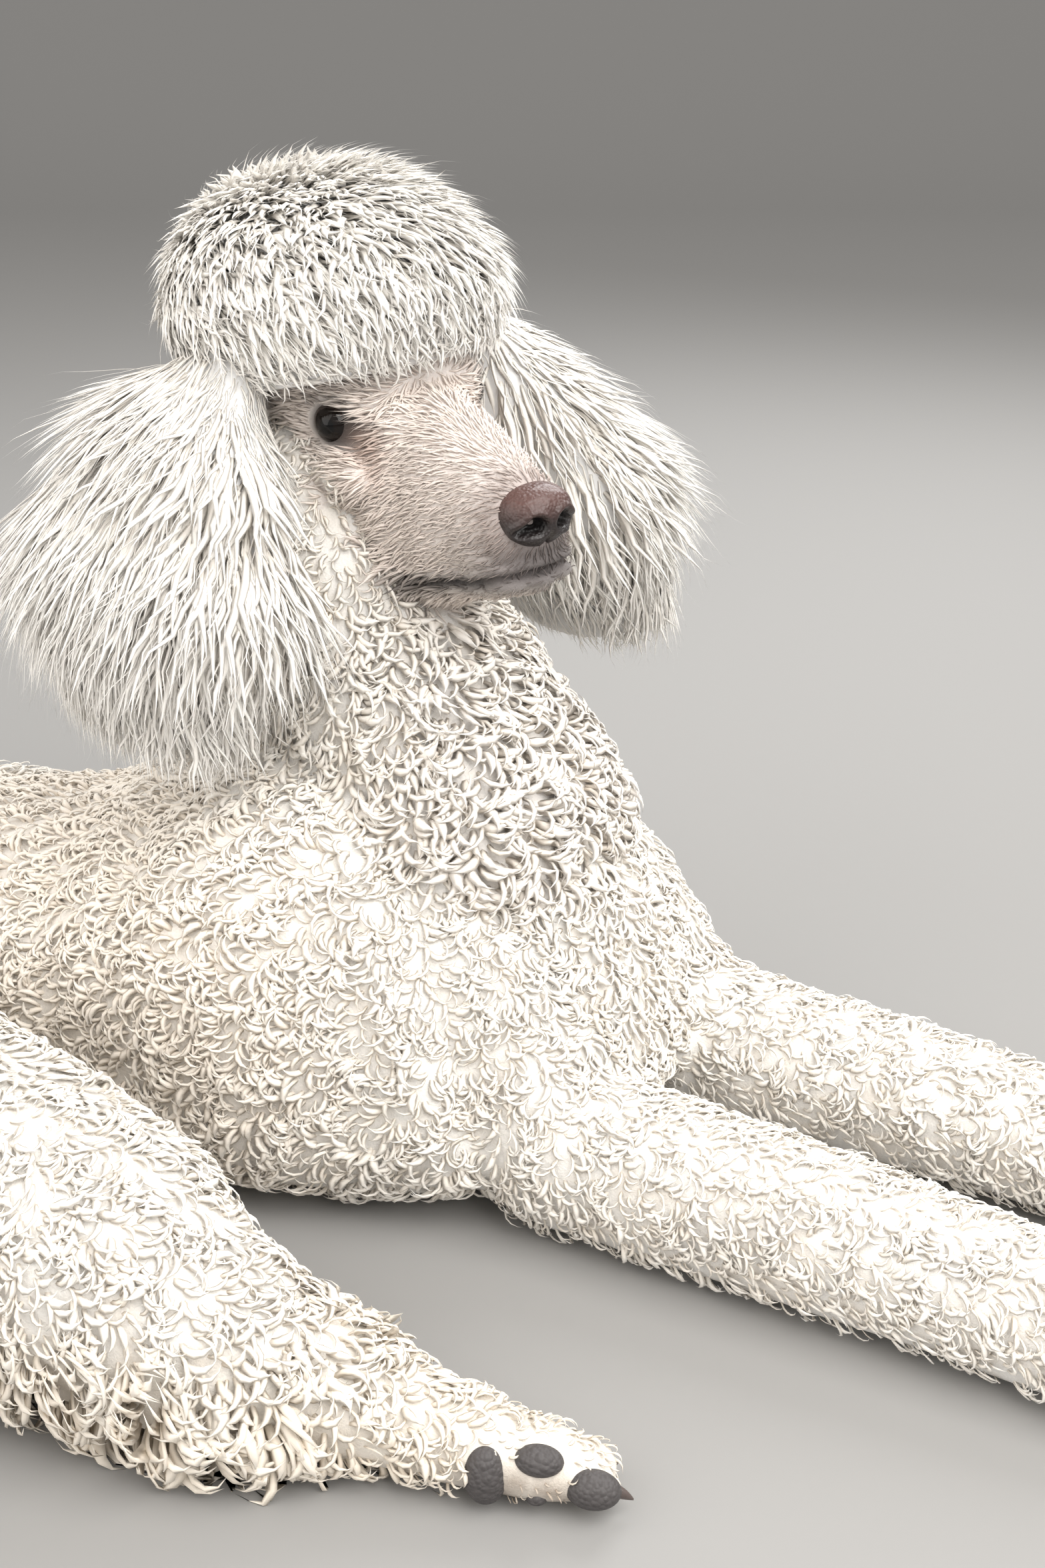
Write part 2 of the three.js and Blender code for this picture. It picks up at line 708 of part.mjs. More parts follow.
function topknot() {
  const slope = new THREE.Vector3(...FRINGE_SLOPE).normalize();
  const fringe = new THREE.Vector3(...FRINGE_AT);
  const core = TOPKNOT_HALF.map((half) => half - CREST_LOCK.clear);
  const crest = pouf(topknotAt, TOPKNOT_HALF, CREST_LOCK, core, {
    frame: HEAD,
    sides: 12,
    rings: 7,
    lie: new THREE.Vector3(-0.5, 0, -0.7),
    keep: (tip) => tip.clone().sub(fringe).dot(slope) < FRINGE_MARGIN,
  });
  return crest.subtract(beyondPlane(FRINGE_AT, FRINGE_SLOPE, HEAD));
}

function pom() {
  const half = [POM_RADIUS, POM_RADIUS, POM_RADIUS];
  const core = half.map((size) => size - POM_LOCK.clear);
  return pouf(pomAt, half, POM_LOCK, core, {
    frame: WORLD,
    sides: 10,
    rings: 6,
    lie: new THREE.Vector3(0.5, 0, -0.5),
    keep: (tip) => tip.z > 6,
  });
}

const rightForeleg = forelegLine(-1);
const leftForeleg = forelegLine(1);

// Plain outlines, grown by the clearance that a neighbour keeps
const outline = {
  head: (grow) =>
    join([
      body(skullLine, 14, 16, grow),
      lids(-1, grow),
      lids(1, grow),
      lip(LIP_RADIUS, grow),
      lip(-LIP_RADIUS, grow),
    ]),
  earRight: (grow) => body(earLine(-1), 10, 8, grow),
  earLeft: (grow) => body(earLine(1), 10, 8, grow),
  topknot: (grow) => {
    const crest = egg(topknotAt, TOPKNOT_HALF, grow, { frame: HEAD, sides: 10, rings: 6 });
    const fringe = FRINGE_AT.map((value, i) => value + (FRINGE_SLOPE[i] * grow) / FRINGE_STEEPNESS);
    return crest.subtract(beyondPlane(fringe, FRINGE_SLOPE, HEAD));
  },
  forelegRight: (grow) => body(rightForeleg, 10, 10, grow),
  forelegLeft: (grow) => body(leftForeleg, 10, 10, grow),
  hindRight: (grow) => body(hindRightLine, 8, 9, grow),
  hindFootLeft: (grow) => body(hindFootLeftLine, 6, 5, grow),
  thighLeft: (grow) => body(thighLeftLine, 12, 9, grow),
  tail: (grow) => body(tailLine, 6, 7, grow),
  pom: (grow) => egg(pomAt, [POM_RADIUS, POM_RADIUS, POM_RADIUS], grow, { sides: 8, rings: 5 }),
  trunk: (grow) => join([body(trunkLine, 10, 9, grow), body(neckLine, 8, 6, grow)]),
};

// A body with its fleece: a core half way to the tips, the clumps, and the full girth again
// where the body is rooted in its hosts and where its weight presses the fleece flat
function fleeced(name, line, curl, sides, rings, hosts, clearOf) {
  const core = body(coreLine(line, curl), sides, rings);
  const roots = hosts.map((host) => outline[name](TIP_ROOM).intersect(outline[host](-ROOT_DEPTH)));
  const sole = body(line, sides, rings).intersect(floorSlab);
  return join([core, ...clumps(line, curl, clearOf), ...roots, sole]);
}

const floor = slab(-FLOOR_REACH, 0);
const floorSlab = slab(-FLOOR_REACH, PRESSED_HEIGHT);

const trunkNeighbours = [
  rightForeleg,
  leftForeleg,
  hindRightLine,
  thighLeftLine,
  hindFootLeftLine,
  neckLine,
];
const neckNeighbours = [skullLine, earLine(-1), earLine(1), trunkLine];

// The same bodies with their locks and clumps
const dressed = {
  earRight: () => ear(-1),
  earLeft: () => ear(1),
  topknot,
  forelegRight: () =>
    join([
      fleeced('forelegRight', rightForeleg, LEG_CURL, 8, 10, ['trunk'], [trunkLine]),
      ...forelegToes(-1),
    ]),
  forelegLeft: () =>
    join([
      fleeced('forelegLeft', leftForeleg, LEG_CURL, 8, 10, ['trunk'], [trunkLine]),
      ...forelegToes(1),
    ]),
  hindRight: () =>
    join([
      fleeced('hindRight', hindRightLine, HIND_CURL, 8, 10, ['trunk'], [trunkLine, thighLeftLine]),
      ...hindPads(0),
    ]),
  hindFootLeft: () => {
    const clearOf = [trunkLine, hindRightLine, thighLeftLine];
    return fleeced('hindFootLeft', hindFootLeftLine, LEG_CURL, 6, 5, ['trunk'], clearOf);
  },
  thighLeft: () => {
    const clearOf = [trunkLine, hindRightLine];
    return fleeced('thighLeft', thighLeftLine, HIND_CURL, 10, 8, ['trunk'], clearOf);
  },
  tail: () => {
    const clearOf = [trunkLine, hindRightLine];
    return fleeced('tail', tailLine, TAIL_CURL, 6, 7, ['trunk', 'pom'], clearOf);
  },
  pom,
  trunk: () =>
    join([
      fleeced('trunk', trunkLine, BODY_CURL, 12, 10, [], trunkNeighbours),
      fleeced('trunk', neckLine, NECK_CURL, 10, 8, [], neckNeighbours),
    ]),
};


// Cuts a whole body clear of the neighbours it gives way to, and of the floor
function shaped(name, neighbours) {
  const clearance = (neighbour) => (neighbour === 'head' ? GAP : GAP + TIP_ROOM);
  const cutters = neighbours.map((neighbour) => outline[neighbour](clearance(neighbour)));
  return cut(dressed[name](), [...cutters, floor]);
}

// Parts a body with one thin cut into the piece that the plane takes off and the rest
function parted(whole, [at, facing]) {
  const away = facing.map((value) => -value);
  const taken = bySize(whole.subtract(beyondPlane(at, away)))[0];
  const rest = bySize(whole.subtract(beyondPlane(at, facing)))[0];
  return [taken, rest];
}

// Colours and finishes
const WHITE_CURL = { color: 0xeee8df, roughness: 0.95, metalness: 0 };
const SHORT_HAIR = { color: 0xd9cfc6, roughness: 0.85, metalness: 0 };
const NOSE_LEATHER = { color: 0x4a2f2b, roughness: 0.42, metalness: 0 };
const DARK_EYE = { color: 0x0b0c10, roughness: 0.08, metalness: 0 };

const poodle = new THREE.Group();

function add(name, manifold, finish) {
  const mesh = manifold.getMesh();
  const geometry = new THREE.BufferGeometry();
  geometry.setAttribute('position', new THREE.BufferAttribute(mesh.vertProperties, 3));
  geometry.setIndex(new THREE.BufferAttribute(mesh.triVerts, 1));
  geometry.computeVertexNormals();
  const node = new THREE.Mesh(geometry, new THREE.MeshStandardMaterial(finish));
  node.name = name;
  poodle.add(node);
}

// Head: nose, eyes, then the skull and upper lip, then the lower jaw
const noseSolid = cut(nose(0), nostrils());
add('nose', bySize(noseSolid)[0], NOSE_LEATHER);
add('eye_right', eye(-1, 0), DARK_EYE);
add('eye_left', eye(1, 0), DARK_EYE);

const face = cut(outline.head(0), [nose(GAP), eye(-1, GAP), eye(1, GAP), mouthStrip()]);
const [headSolid, jawSolid] = bySize(face);
add('head', headSolid, SHORT_HAIR);
add('jaw', jawSolid, SHORT_HAIR);

for (const [side, name] of [[-1, 'right'], [1, 'left']]) {
  const hung = shaped(side < 0 ? 'earRight' : 'earLeft', ['head', 'topknot', 'trunk']);
  add(`ear_${name}`, bySize(hung.subtract(earCup(side)))[0], WHITE_CURL);
}
add('topknot', bySize(shaped('topknot', ['head']))[0], WHITE_CURL);

// Forelegs, parted at the elbow and the wrist
for (const [side, name] of [[-1, 'right'], [1, 'left']]) {
  const y = FRONT_Y + (side * LEG_SPACING) / 2;
  const leg = shaped(side < 0 ? 'forelegRight' : 'forelegLeft', []);
  const [upperArm, rest] = parted(leg, [[ELBOW_AT[0], y, ELBOW_AT[1]], ELBOW_FACING]);
  const [paw, forearm] = parted(rest, [[WRIST_AT[0], y, WRIST_AT[1]], WRIST_FACING]);
  add(`upper_arm_${name}`, upperArm, WHITE_CURL);
  add(`forearm_${name}`, forearm, WHITE_CURL);
  add(`forepaw_${name}`, paw, WHITE_CURL);
}

// Hindquarters
const [thigh, shankAndFoot] = parted(shaped('hindRight', []), KNEE_PLANE);
const [hindFoot, shank] = parted(shankAndFoot, HOCK_PLANE);
add('thigh_right', thigh, WHITE_CURL);
add('shank_right', shank, WHITE_CURL);
add('hind_foot_right', hindFoot, WHITE_CURL);
const footLeft = shaped('hindFootLeft', ['hindRight', 'thighLeft']);
add('hind_foot_left', bySize(footLeft)[0], WHITE_CURL);
add('thigh_left', bySize(shaped('thighLeft', ['hindRight']))[0], WHITE_CURL);
const tailSolid = bySize(shaped('tail', ['hindRight', 'thighLeft']))[0];
const [tailEnd, tailRoot] = parted(tailSolid, TAIL_BEND_PLANE);
add('tail_root', tailRoot, WHITE_CURL);
add('tail_end', tailEnd, WHITE_CURL);
add('tail_pom', bySize(shaped('pom', ['tail', 'hindRight']))[0], WHITE_CURL);

// Trunk and neck in one, cut clear of all that grows from them or lies on them, then parted
const apart = ['trunk', 'pom', 'earRight', 'earLeft'];
const attached = Object.keys(outline).filter((name) => !apart.includes(name));
const trunkSolid = bySize(shaped('trunk', attached))[0];
const [neck, torso] = parted(trunkSolid, NECK_PLANE);
const [chest, hindTorso] = parted(torso, CHEST_PLANE);
const [loin, rump] = parted(hindTorso, LOIN_PLANE);
add('neck', neck, WHITE_CURL);
add('chest', chest, WHITE_CURL);
add('loin', loin, WHITE_CURL);
add('rump', rump, WHITE_CURL);

// The part's origin: on the floor, under the middle of its box
const box = new THREE.Box3().setFromObject(poodle);
const middle = box.getCenter(new THREE.Vector3());
poodle.position.set(-middle.x, -middle.y, 0);

export default poodle;
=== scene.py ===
import math

import bmesh
import bpy
import numpy as np
from mathutils import Euler, Matrix, Vector, kdtree


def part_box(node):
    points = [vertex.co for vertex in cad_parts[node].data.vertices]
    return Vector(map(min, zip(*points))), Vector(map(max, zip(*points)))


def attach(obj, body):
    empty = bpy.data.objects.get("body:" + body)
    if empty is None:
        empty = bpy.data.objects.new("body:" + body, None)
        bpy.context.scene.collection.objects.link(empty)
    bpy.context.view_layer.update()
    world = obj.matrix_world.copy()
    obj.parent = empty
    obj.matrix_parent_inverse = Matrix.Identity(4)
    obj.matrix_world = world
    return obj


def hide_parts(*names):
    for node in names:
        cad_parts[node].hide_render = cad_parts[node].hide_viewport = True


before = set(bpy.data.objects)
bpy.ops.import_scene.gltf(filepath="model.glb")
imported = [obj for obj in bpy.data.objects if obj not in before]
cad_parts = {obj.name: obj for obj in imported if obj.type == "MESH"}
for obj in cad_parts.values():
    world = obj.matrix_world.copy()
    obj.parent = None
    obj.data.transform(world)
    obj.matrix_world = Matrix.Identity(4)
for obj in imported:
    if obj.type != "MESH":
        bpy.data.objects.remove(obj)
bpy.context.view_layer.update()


# ---------------------------------------------------------------- the skin
# One hide over the whole dog, drawn under the coat by the coat's depth. The lines of the body,
# limbs and tail are lofted, melted together and smoothed; the head is modelled finer and let in
# at the top of the neck. It is painted with the markings that the hair above it carries too, and
# with painted shade on the flank, the throat, between the pads and between the clumps of curls.
MM = 0.001
SCENE = bpy.context.scene
CAP_SHARE = 0.16  # how much of a line each of its rounded ends takes up
FRONT_Y, LEG_APART = -22, 66  # the middle of the chest, and how far off it each foreleg lies
TOES = ((-1.5, 14), (-0.5, 0), (0.5, 0), (1.5, 14))  # place across the paw, and how far back
EYES_BETWEEN = Vector((-125.67, -28.52, 390.07)) * MM
HEAD_TURN = Euler([math.radians(a) for a in (4.0, 8.15, -21.92)], "XYZ").to_matrix()
HEAD_PLACE = Vector((-122, -30, 389.5)) * MM
BODY_GRAIN, HEAD_GRAIN = 0.0045, 0.0017  # how fine the two parts of the hide are melted
SOLE_DEPTH, SKULL_DEPTH = 2, 1.5  # how thin the coat is underneath and on the head, in mm
SKIN_LIFT, HAIR_LIFT = 0.0008, 0.0004  # how far skin and hair stay off the floor


def middle(node):
    low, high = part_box(node)
    return (low + high) / 2


SHIFT = (middle("eye_right") + middle("eye_left")) / 2 - EYES_BETWEEN
HEAD = np.array(Matrix.Translation(HEAD_PLACE + SHIFT) @ HEAD_TURN.to_4x4())
GROUND = np.array(Matrix.Translation(Vector((SHIFT.x, SHIFT.y, 0))))


def placed(points, base):
    return np.asarray(points, float) @ base[:3, :3].T + base[:3, 3]


def spine_at(points, t):
    last = len(points) - 1
    low = min(int(t * last), last - 1)
    share = t * last - low
    p1, p2 = points[low], points[low + 1]
    p0 = points[low - 1] if low > 0 else 2 * p1 - p2
    p3 = points[low + 2] if low + 2 <= last else 2 * p2 - p1
    d0, d1, d2 = (math.sqrt(np.linalg.norm(b - a)) for a, b in ((p0, p1), (p1, p2), (p2, p3)))
    m1 = ((p1 - p0) / d0 - (p2 - p0) / (d0 + d1) + (p2 - p1) / d1) * d1
    m2 = ((p2 - p1) / d1 - (p3 - p1) / (d1 + d2) + (p3 - p2) / d2) * d1
    c2 = 3 * (p2 - p1) - 2 * m1 - m2
    c3 = 2 * (p1 - p2) + m1 + m2
    return p1 + share * (m1 + share * (c2 + share * c3)), low, share


def body_line(stations, across=(0, 1, 0), fullness=2.2, seat=None, cap=0.8, base=GROUND):
    rows = np.array([list(s) + [s[4]] if len(s) == 5 else list(s) for s in stations], float)
    return dict(rows=rows, across=np.array(across, float), fullness=fullness,
                seat=seat or fullness, cap=cap, base=base)


def loft(line, sides, rings, grow, grow_below=None):
    """Points ring by ring from tip to tip, and the way the line runs at each ring."""
    rows, spine = line["rows"], line["rows"][:, :3]
    grow_below = grow if grow_below is None else grow_below
    turn = np.linspace(0, 2 * math.pi, sides, endpoint=False)
    points, ways = [], []
    for i in range(rings + 1):
        share = i / rings
        t = min(max((share - CAP_SHARE) / (1 - 2 * CAP_SHARE), 0), 1)
        at, low, part = spine_at(spine, t)
        ease = part * part * (3 - 2 * part)
        wide, above, below = rows[low, 3:6] + (rows[low + 1, 3:6] - rows[low, 3:6]) * ease
        ahead, behind = spine_at(spine, min(t + 1e-4, 1))[0], spine_at(spine, max(t - 1e-4, 0))[0]
        along = (ahead - behind) / np.linalg.norm(ahead - behind)
        side = line["across"] - along * line["across"].dot(along)
        side /= np.linalg.norm(side)
        up = np.cross(along, side)
        edge = min(min(share, 1 - share) / CAP_SHARE, 1) * math.pi / 2
        beyond = math.cos(edge) * (line["cap"] * 0.5 * (wide + above) + grow)
        beyond = -beyond if share < 0.5 else beyond
        lower = np.sin(turn) * up[2] < 0
        power = 2 / np.where(lower, line["seat"], line["fullness"])
        tall = np.where(lower, below + grow_below, above + grow)
        x = np.sign(np.cos(turn)) * np.abs(np.cos(turn)) ** power * (wide + grow)
        y = np.sign(np.sin(turn)) * np.abs(np.sin(turn)) ** power * tall
        ring = at + (x[:, None] * side + y[:, None] * up) * math.sin(edge) + along * beyond
        points.append(placed(ring * MM, line["base"]))
        ways.append(np.tile(line["base"][:3, :3] @ along, (sides, 1)))
    return np.array(points), np.array(ways)


def tube_faces(rings, sides):
    faces = []
    for i in range(rings - 1):
        for k in range(sides):
            n = (k + 1) % sides
            faces.append((i * sides + k, i * sides + n, (i + 1) * sides + n, (i + 1) * sides + k))
    return faces


def new_piece(name, points, faces):
    mesh = bpy.data.meshes.new(name)
    mesh.from_pydata([tuple(p) for p in points], [], faces)
    mesh.update()
    piece = bpy.data.objects.new(name, mesh)
    SCENE.collection.objects.link(piece)
    return piece


def loft_piece(name, line, sides, rings, grow, grow_below=None):
    points, _ = loft(line, sides, rings, grow, grow_below)
    inner = points[1:-1].reshape(-1, 3)
    faces = tube_faces(rings - 1, sides)
    faces += [tuple(range(sides))[::-1], tuple(range((rings - 2) * sides, (rings - 1) * sides))]
    return new_piece(name, inner, faces)


def egg_piece(name, at, half, base, turn=(0, 0, 0), sides=32, rings=24):
    points = []
    spin = np.array(Euler(turn).to_matrix())
    for i in range(1, rings):
        lift = math.pi * i / rings
        for k in range(sides):
            a = 2 * math.pi * k / sides
            points.append((math.sin(lift) * math.cos(a), math.sin(lift) * math.sin(a), math.cos(lift)))
    points = placed((np.array(points) * half) @ spin.T * MM + np.array(at) * MM, base)
    faces = [f[::-1] for f in tube_faces(rings - 1, sides)]
    faces += [tuple(range(sides)), tuple(range((rings - 2) * sides, (rings - 1) * sides))[::-1]]
    return new_piece(name, points, faces)


def rim_piece(name, centre, look, wide, high, tube, offset, base):
    """An almond rim round an eye, facing the way that the eye looks."""
    look = np.array(look, float) / np.linalg.norm(look)
    side = np.cross((0, 0, 1), look)
    side /= np.linalg.norm(side)
    up = np.cross(look, side)
    points = []
    for i in range(48):
        a = 2 * math.pi * i / 48
        pinch = 1 - 0.16 * abs(math.cos(a)) ** 5
        out = side * math.cos(a) * wide + up * math.sin(a) * high * pinch
        away = out / np.linalg.norm(out)
        seat = np.array(centre) + look * (offset - 0.012 * (math.cos(a) * wide) ** 2) + out
        for k in range(12):
            b = 2 * math.pi * k / 12
            points.append(seat + (away * math.cos(b) + look * math.sin(b)) * tube)
    faces = [(i * 12 + k, i * 12 + (k + 1) % 12, ((i + 1) % 48) * 12 + (k + 1) % 12,
              ((i + 1) % 48) * 12 + k) for i in range(48) for k in range(12)]
    return new_piece(name, placed(np.array(points) * MM, base), faces)


def picked(parts):
    bpy.ops.object.select_all(action="DESELECT")
    for part in parts:
        part.select_set(True)
    bpy.context.view_layer.objects.active = parts[0]


def joined(parts):
    """The parts made one object, the first of them."""
    picked(parts)
    bpy.ops.object.join()
    return parts[0]


def melted(name, parts, grain, rounds):
    """The parts joined, remeshed as one closed skin and smoothed."""
    whole = joined(parts)
    remesh = whole.modifiers.new("melt", "REMESH")
    remesh.mode = "VOXEL"
    remesh.voxel_size = grain
    relax = whole.modifiers.new("relax", "SMOOTH")
    relax.factor = 0.5
    relax.iterations = rounds
    return plain(name, whole)


def plain(name, piece):
    """The piece with its modifiers taken into its mesh."""
    view = bpy.context.evaluated_depsgraph_get()
    mesh = bpy.data.meshes.new_from_object(piece.evaluated_get(view))
    bpy.data.objects.remove(piece)
    mesh.name = name
    made = bpy.data.objects.new(name, mesh)
    SCENE.collection.objects.link(made)
    return made


def read(items, name):
    flat = np.empty(len(items) * 3)
    items.foreach_get(name, flat)
    return flat.reshape(-1, 3)


def coordinates(mesh):
    return read(mesh.vertices, "co")


def normals(mesh):
    return read(mesh.vertices, "normal")


def moved(mesh, points):
    mesh.vertices.foreach_set("co", points.ravel())
    mesh.update()


def in_head(points):
    """Points in the head's own frame: forward, to the left and up, in mm from between the eyes."""
    return (points - HEAD[:3, 3]) @ HEAD[:3, :3] / MM


def ramp(values, start, length):
    """0 up to the start, then rising to 1 over the length."""
    return np.clip((values - start) / length, 0, 1)


def foreleg(side):
    y = FRONT_Y + side * LEG_APART
    return body_line([
        (-88, y - side * 6, 146, 40, 54), (-48, y - side * 3, 102, 46, 54), (-4, y, 50, 48, 50),
        (44, y, 41, 44, 43), (120, y, 40, 41, 41), (230, y, 36, 38, 37), (325, y, 29, 36, 30)])


LINES = {
    "trunk": body_line([
        (-24, FRONT_Y, 118, 74, 92, 90), (-78, -30, 92, 128, 134, 94),
        (-160, -44, 82, 148, 150, 84), (-242, -50, 80, 142, 108, 82),
        (-318, -78, 76, 126, 80, 78), (-384, -128, 76, 104, 78, 78),
        (-430, -190, 74, 88, 76, 76), (-450, -244, 68, 66, 68, 66)],
        cap=0.5, fullness=2.3, seat=4),
    "neck": body_line([
        (-84, -24, 160, 88, 80), (-122, -26, 222, 80, 72), (-160, -28, 286, 67, 67),
        (-184, -22, 346, 64, 66)], cap=0.7),
    "foreleg_right": foreleg(-1),
    "foreleg_left": foreleg(1),
    "hind_right": body_line([
        (-410, -196, 78, 80, 70), (-346, -246, 84, 76, 72), (-262, -288, 92, 66, 66),
        (-176, -298, 80, 67, 67), (-110, -302, 68, 63, 65), (-58, -302, 52, 49, 51),
        (-8, -286, 34, 36, 31), (42, -275, 24, 28, 23), (84, -265, 19, 25, 19),
        (112, -255, 15, 21, 14)]),
    "thigh_left": body_line([(-420, -64, 72, 84, 72), (-340, 4, 60, 68, 60), (-262, 48, 50, 54, 50)]),
    "hind_left": body_line([(-352, -112, 34, 34, 34), (-262, -168, 30, 33, 30), (-178, -186, 25, 30, 25)]),
    "tail": body_line([
        (-452, -262, 84, 34, 32), (-452, -350, 54, 23, 23), (-386, -408, 32, 23, 23),
        (-300, -412, 34, 23, 23), (-236, -410, 50, 22, 22)]),
}
COAT_DEPTH = dict(trunk=6.5, neck=6.5, foreleg_right=5.5, foreleg_left=5.5, hind_right=6.5,
                  thigh_left=6, hind_left=5, tail=5)
SKULL = body_line([
    (-98, 0, 4, 34, 34), (-76, 0, -8, 46, 58), (-40, 0, -22, 50, 74), (-8, 0, -32, 47, 68),
    (16, 0, -37, 37, 59), (44, 0, -34, 30, 48), (76, 0, -31, 26, 38), (98, 0, -27, 23, 27)],
    fullness=2.4, cap=0.6, base=HEAD)

flesh = []
for name, line in LINES.items():
    flesh.append(loft_piece(name, line, 48, 72, -COAT_DEPTH[name], -SOLE_DEPTH))
for side in (-1, 1):
    for place, back in TOES:
        toe_at = (336 - back, FRONT_Y + side * LEG_APART + place * 14, 14)
        flesh.append(egg_piece("toe", toe_at, (21, 8.6, 11), GROUND))
torso = melted("torso", flesh, BODY_GRAIN, 6)

EYE_AT = [np.array((-4.0, side * 36.0, 0.0)) for side in (-1, 1)]
LOOK = [np.array((0.5, side * 0.85, 0.1)) for side in (-1, 1)]
face = [loft_piece("skull", SKULL, 64, 96, -SKULL_DEPTH)]
for side, eye_at, look in zip((-1, 1), EYE_AT, LOOK):
    face += [
        egg_piece("cheek", (-12, side * 34, -24), (34, 14, 20), HEAD),
        egg_piece("brow", (0, side * 25, 13), (15, 15, 8), HEAD, (0, 0.3, side * 0.4)),
        egg_piece("flew", (86, side * 13, -40), (26, 12, 13), HEAD, (0, 0.25, 0)),
        rim_piece("lid", eye_at, look, 11.8, 7.0, 1.9, 5.0, HEAD),
        rim_piece("lid_fold", eye_at, look, 13.8, 10.2, 4.2, 0.8, HEAD),
    ]
face += [
    egg_piece("stop", (26, 0, 5), (30, 13, 12), HEAD, (0, 0.16, 0)),
    egg_piece("bridge", (66, 0, -6), (38, 15, 12), HEAD, (0, 0.1, 0)),
    egg_piece("chin", (86, 0, -55), (31, 12.5, 8.5), HEAD, (0, -0.33, 0)),
]
head_skin = melted("head_skin", face, HEAD_GRAIN, 4)

# the line of the closed mouth, pressed in between the lips
MOUTH = np.array([(128, -38), (116, -40), (104, -44), (88, -52), (60, -63), (34, -71)], float)
points = coordinates(head_skin.data)


def mouth_distance(local):
    best = np.full(len(local), 1e9)
    for a, b in zip(MOUTH[:-1], MOUTH[1:]):
        ab, ap = b - a, local[:, [0, 2]] - a
        t = np.clip(ap @ ab / (ab @ ab), 0, 1)
        best = np.minimum(best, np.linalg.norm(ap - t[:, None] * ab, axis=1))
    return best


near = mouth_distance(in_head(points))
press = -4.2 * np.exp(-((near / 1.5) ** 2)) + 1.9 * np.exp(-(((near - 4.2) / 2.4) ** 2))
points += normals(head_skin.data) * (press * MM)[:, None]
moved(head_skin.data, points)

weld = torso.modifiers.new("head", "BOOLEAN")
weld.operation = "UNION"
weld.object = head_skin
weld.solver = "MANIFOLD"
skin = plain("skin", torso)
bpy.data.objects.remove(head_skin)
points = coordinates(skin.data)
points[:, 2] = np.maximum(points[:, 2], SKIN_LIFT)
moved(skin.data, points)
skin.data.shade_smooth()

# where on the dog each spot of skin is, and how the coat lies there
REGIONS = list(LINES) + ["head"]


def nearest(seeds, spots):
    """Which of the seeds is closest to each spot."""
    tree = kdtree.KDTree(len(seeds))
    for i, seed in enumerate(seeds):
        tree.insert(Vector(seed), i)
    tree.balance()
    return np.array([tree.find(Vector(spot))[1] for spot in spots])


shells, ways, regions = [], [], []
for index, (name, line) in enumerate([*LINES.items(), ("head", SKULL)]):
    shell, run = loft(line, 24, 40, -COAT_DEPTH.get(name, SKULL_DEPTH))
    shells.append(shell.reshape(-1, 3))
    ways.append(run.reshape(-1, 3) * (-1 if name in ("neck", "head") else 1))
    regions.append(np.full(len(ways[-1]), index))
close_by = nearest(np.concatenate(shells), points)
region = np.concatenate(regions)[close_by]
lie = np.concatenate(ways)[close_by] + np.array((0, 0, -0.5))
facing = normals(skin.data)
lie -= facing * np.sum(lie * facing, axis=1)[:, None]
lie /= np.linalg.norm(lie, axis=1)[:, None] + 1e-9
local = in_head(points)


def blob(local, at, reach, power=2.0):
    away = np.linalg.norm((local - np.array(at)) / np.array(reach), axis=1)
    return np.exp(-(away ** power))


def mixed(colour, other, share):
    return colour * (1 - share[:, None]) + np.array(other) * share[:, None]


def within(*names):
    return np.isin(region, [REGIONS.index(name) for name in names])


on_ground = (points - GROUND[:3, 3]) / MM
height = points[:, 2] / MM
on_head = within("head")
lip_width = 5 + 3 * ramp(local[:, 0], 60, 60)
lips = np.exp(-((mouth_distance(local) / lip_width) ** 2)) * ramp(local[:, 0], 22, 20)
flank_shade = within("trunk") * ramp(-on_ground[:, 0], 60, 80) * ramp(-height, -240, 80)
low_leg = within("hind_right", "hind_left") * ramp(-height, -85, 60)
sole_gap = np.linalg.norm((on_ground - (92, -284, 8)) / (42, 26, 24), axis=1)
throat = within("neck") * ramp(on_ground[:, 0], -130, 60)
# colours over the skin: real markings on the head, and painted shade on the flank, the throat and between
# the pads
MARKINGS_AND_SHADE = [
    ((0.86, 0.775, 0.73), on_head * 0.75),
    ((0.96, 0.93, 0.895), on_head * ramp(-local[:, 0], 22, 26) * 0.9),
    ((0.62, 0.56, 0.54), on_head * ramp(local[:, 0], 10, 70) * 0.35),
    ((0.055, 0.05, 0.05), on_head * lips),
    ((0.36, 0.32, 0.30), on_head * blob(local, (90, 0, -38), (30, 34, 13), 3) * 0.6),
    ((0.36, 0.29, 0.27), on_head * blob(local, (102, 0, -19), (22, 30, 26), 4) * 0.85),
    ((0.09, 0.08, 0.08), on_head * blob(local, (110, 0, -36), (22, 26, 13), 3) * 0.85),
]
for side, eye_at in zip((-1, 1), EYE_AT):
    MARKINGS_AND_SHADE += [
        ((0.03, 0.024, 0.022), on_head * blob(local, eye_at + (5, 0, 1), (16, 20, 13), 8)),
        ((0.20, 0.12, 0.09), on_head * blob(local, eye_at + (18, -side * 9, -4), (11, 10, 8)) * 0.9),
        ((0.45, 0.30, 0.24), on_head * blob(local, eye_at + (22, -side * 7, -14), (12, 9, 12)) * 0.5),
    ]
MARKINGS_AND_SHADE += [
    # painted shade: the lower rear of the trunk made cream, where it is lit less
    ((0.90, 0.835, 0.755), flank_shade * 0.55),
    ((0.90, 0.825, 0.715), low_leg * 0.75),
    # the hair round the pads of the right hind sole brown-cream, darkened further as painted shade in the
    # gaps between the pads
    ((0.40, 0.33, 0.27), low_leg * np.clip(2 - 2 * sole_gap, 0, 1) * 0.85),
    # painted shade: the front of the neck, under the head, made grey
    ((0.78, 0.75, 0.73), throat * 0.5),
]
marking_and_shade = np.tile(np.array((0.97, 0.955, 0.925)), (len(points), 1))
for colour, share in MARKINGS_AND_SHADE:
    marking_and_shade = mixed(marking_and_shade, colour, share)


